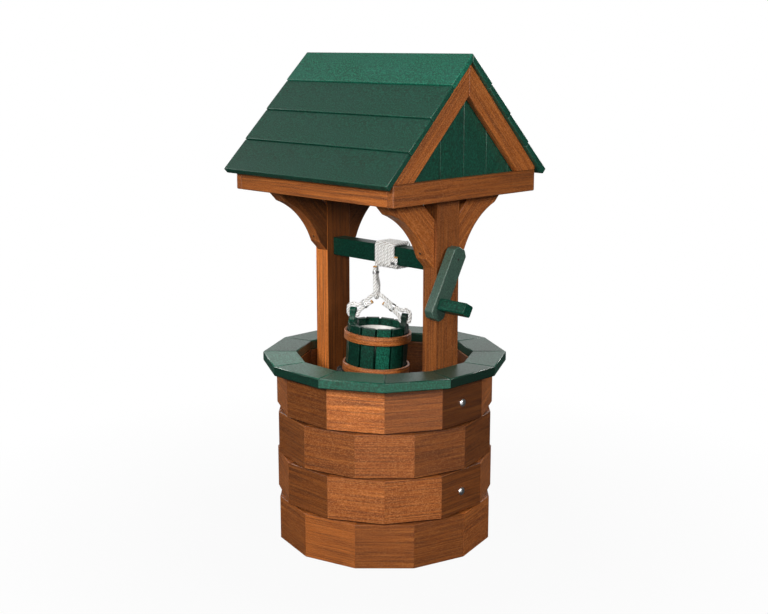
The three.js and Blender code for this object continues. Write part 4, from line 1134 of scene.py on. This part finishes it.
def build_drop():
    """The rope between the spindle and the eye, drawn at one length; on the real well it grows as
    the bucket goes down.
    """
    route = np.array([(WRAP_START, DROP_Y, DROP_TOP + 1.2 * MM), (WRAP_START, DROP_Y, EYE_TOP)])
    pile = strands(*evenly(route, DROP_STEP))
    piece = pile.make("rope_drop_strands", None, "rope", ["rope_drop"])
    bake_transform(piece)


# Bucket, in its own frame: its middle at the origin, an ear at each end of X

BUCKET_RIM = 598 * MM
HALF_BUCKET = 147 * MM / 2
BUCKET_TILT = math.radians(3.3)
BUCKET = (Matrix.Translation((WRAP_START, DROP_Y, BUCKET_RIM - HALF_BUCKET))
          @ Matrix.Rotation(BUCKET_TILT, 4, Vector((-1, 1, 0)).normalized())
          @ Matrix.Rotation(math.radians(BUCKET_TURN), 4, "Z"))
STAVE_RADIUS = 84.8 * MM
STAVE_FACE = STAVE_RADIUS * math.cos(HALF)
STAVE_INNER = STAVE_FACE - 16 * MM
STAVE_HALF_WIDE = STAVE_RADIUS * math.sin(HALF) - 2.9 * MM
# Tone of each stave: partly its own colour, partly painted light and shade; stave 0, in the right
# post's shadow, is darkest.
STAVE_TONE_AND_LIGHT = {0: -0.25, 1: 0.36, 2: 0.42, 3: 0.37, 4: 0.38, 5: 0.40, 6: 0.42, 7: 0.22, 8: 0.12,
               9: 0.26, 10: 0.72, 11: 0.24}
EAR_TOP = HALF_BUCKET + 37 * MM
EAR_HOLE = HALF_BUCKET + 13 * MM
EAR_HOLE_RADIUS = 6.2 * MM
EAR_NECK, EAR_HOLLOW = 10.5 * MM, 23 * MM
BOTTOM_RADIUS = 65.4 * MM / math.cos(HALF)
HOOP_INNER, HOOP_OUTER, HOOP_ROUND = 85.4 * MM, 92.2 * MM, 1.6 * MM
HOOP_HIGH = 24 * MM
HOOP_SIDES = 96


def ear_points():
    """The outline of a stave with its ear, in the stave's width and height."""
    half, middle = STAVE_HALF_WIDE, HALF_BUCKET + EAR_HOLLOW
    hollow = (half - EAR_NECK, EAR_HOLLOW)
    return [(half, -HALF_BUCKET),
            *arc((half, middle), hollow, -QUARTER, -math.pi, 12),
            *arc((0, EAR_TOP - EAR_NECK), (EAR_NECK, EAR_NECK), 0, math.pi, 16),
            *arc((-half, middle), hollow, 0, -QUARTER, 12),
            (-half, -HALF_BUCKET)]


def stave(index):
    """One stave, narrowed toward the inside, and its place in the bucket's frame."""
    half, tall, has_ear = STAVE_HALF_WIDE, HALF_BUCKET, index % 6 == 0
    plain = [(-half, -tall), (half, -tall), (half, tall), (-half, tall)]
    bm = prism(ear_points() if has_ear else plain, STAVE_INNER, STAVE_FACE)
    for vert in bm.verts:
        vert.co.x *= vert.co.z / STAVE_FACE
    if has_ear:
        bm = carve(bm, cylinder(EAR_HOLE_RADIUS, STAVE_INNER - 4 * MM, STAVE_FACE + 4 * MM,
                                centre=(0, EAR_HOLE)))
    radial = outward(30 * index)
    return ease(bm, 2.0 * MM, 3), axes_matrix(UP.cross(radial), UP, radial)


def build_bucket():
    pile = Pile()
    for index in range(SIDES):
        bm, matrix = stave(index)
        pile.put(bm, BUCKET @ matrix, 1, STAVE_TONE_AND_LIGHT[index])
    # A thin wall behind the open joints keeps the light out; its low tone paints it dark as shade.
    inner, outer = 67.5 * MM, 72.0 * MM
    low, high = -HALF_BUCKET + 2 * MM, HALF_BUCKET - 2 * MM
    lathe(pile, [(inner, low), (outer, low), (outer, high), (inner, high)], BUCKET, 48, 0.0, True)
    pile.make("bucket_stave_set", "bucket", "stave", ["bucket_staves"])

    bm = prism(circle(BOTTOM_RADIUS, SIDES, start=HALF), -HALF_BUCKET + 8 * MM,
               -HALF_BUCKET + 20 * MM)
    Pile().put(ease(bm, 1.2 * MM), BUCKET, 0, 0.4).make(
        "bucket_bottom_board", "bucket", "green_lumber", ["bucket_bottom"])
    outer, inner = 65.55 * MM, 63.1 * MM
    low, high = -HALF_BUCKET + 20.3 * MM, HALF_BUCKET - 20 * MM
    cup = [(0, low), (outer - 2 * MM, low), (outer, low + 2 * MM), (outer, high - 0.8 * MM),
           (outer - 0.6 * MM, high), (inner + 0.6 * MM, high), (inner, high - 0.8 * MM),
           (inner, low + 6 * MM), (inner - 4 * MM, low + 2.5 * MM), (0, low + 2.5 * MM)]
    lathe(Pile(), cup, BUCKET, 64).make("bucket_liner_cup", "bucket", "liner", ["bucket_liner"])
    hoop("hoop_upper", HALF_BUCKET - 43 * MM)
    hoop("hoop_lower", -HALF_BUCKET + 15 * MM)


def hoop(node, low):
    """A strip of brown lumber bent round the staves, its grain meeting on the far side."""
    left, right = HOOP_INNER + HOOP_ROUND, HOOP_OUTER - HOOP_ROUND
    foot, top = low + HOOP_ROUND, low + HOOP_HIGH - HOOP_ROUND
    section = []
    for index, corner in enumerate(((right, top), (left, top), (left, foot), (right, foot))):
        section += arc(corner, (HOOP_ROUND, HOOP_ROUND), index * QUARTER, (index + 1) * QUARTER, 3)
    rings, grain = [], []
    for k in range(HOOP_SIDES):
        angle = math.tau * k / HOOP_SIDES
        rings.append([(radius * math.cos(angle), radius * math.sin(angle), height)
                      for radius, height in section])
        along = 88 * MM * abs(angle - math.pi) + 3.1
        grain.append([(along, height, radius) for radius, height in section])
    pile = Pile().put_rings(rings, grain, BUCKET, closed=True, tone=0.66)
    pile.make(node + "_strip", "bucket", "brown_lumber", [node])


BAIL_APART = 11.8 * MM
BAIL_BEND = ROPE_OFFSET + 0.3 * MM


def bail_half(side, grip):
    """Half of the bail from its end to its grip, and its clip's middle and two directions."""
    bend, top, outer, inner = BAIL_BEND, EAR_TOP, STAVE_FACE, STAVE_INNER
    diagonal = bend * math.sqrt(0.5)
    above = EAR_HOLE + bend
    shoulder = Vector((side * (inner - bend), 0, top + bend))
    to_grip = grip - shoulder
    direction = to_grip.normalized()
    below = direction.cross(Vector((0, side, 0))).normalized()

    def main(share):
        return shoulder + share * to_grip

    def under(share):
        return main(share) + below * BAIL_APART

    def point(x, z):
        return Vector((side * x, 0, z))

    points = [under(0.62), under(0.39), under(0.15), point(inner - bend - 1.3 * MM, above + bend),
              point(inner - diagonal, above - diagonal), point(inner, EAR_HOLE),
              point(outer, EAR_HOLE), point(outer + diagonal, above - diagonal),
              point(outer + bend, above), point(outer + bend, top),
              point(outer + diagonal, top + diagonal), point(outer, top + bend),
              point((outer + inner) / 2, top + bend + 4 * MM), point(inner, top + bend),
              main(0.15), main(0.39)]
    return points, main(0.27) + below * (BAIL_APART / 2), direction, below


def build_bail():
    turn = BUCKET.to_3x3()
    middle = BUCKET_RIM - HALF_BUCKET
    grip = turn.inverted() @ Vector((0, 0, EYE_BOTTOM + EYE_BESIDE - middle))
    left, right = bail_half(-1, grip), bail_half(1, grip)
    points = [*left[0], grip, *reversed(right[0])]
    route = twisted("rope_bail", "bucket", through([tuple(BUCKET @ point) for point in points]))
    seal("rope_bail_tip_left", "bucket", route[0], route[2])
    seal("rope_bail_tip_right", "bucket", route[-1], route[-3])
    for name, (_, centre, direction, below) in (("left", left), ("right", right)):
        crimp(f"clip_bail_{name}", "bucket", BUCKET @ centre, turn @ direction, turn @ below,
              BAIL_APART)


set_camera()
light_scene()
lay_floor()
build_wall()
build_cap()
build_floor()
build_posts()
build_bolts()
build_roof()
build_gables()
build_crank()
build_ropes()
build_bucket()
build_bail()
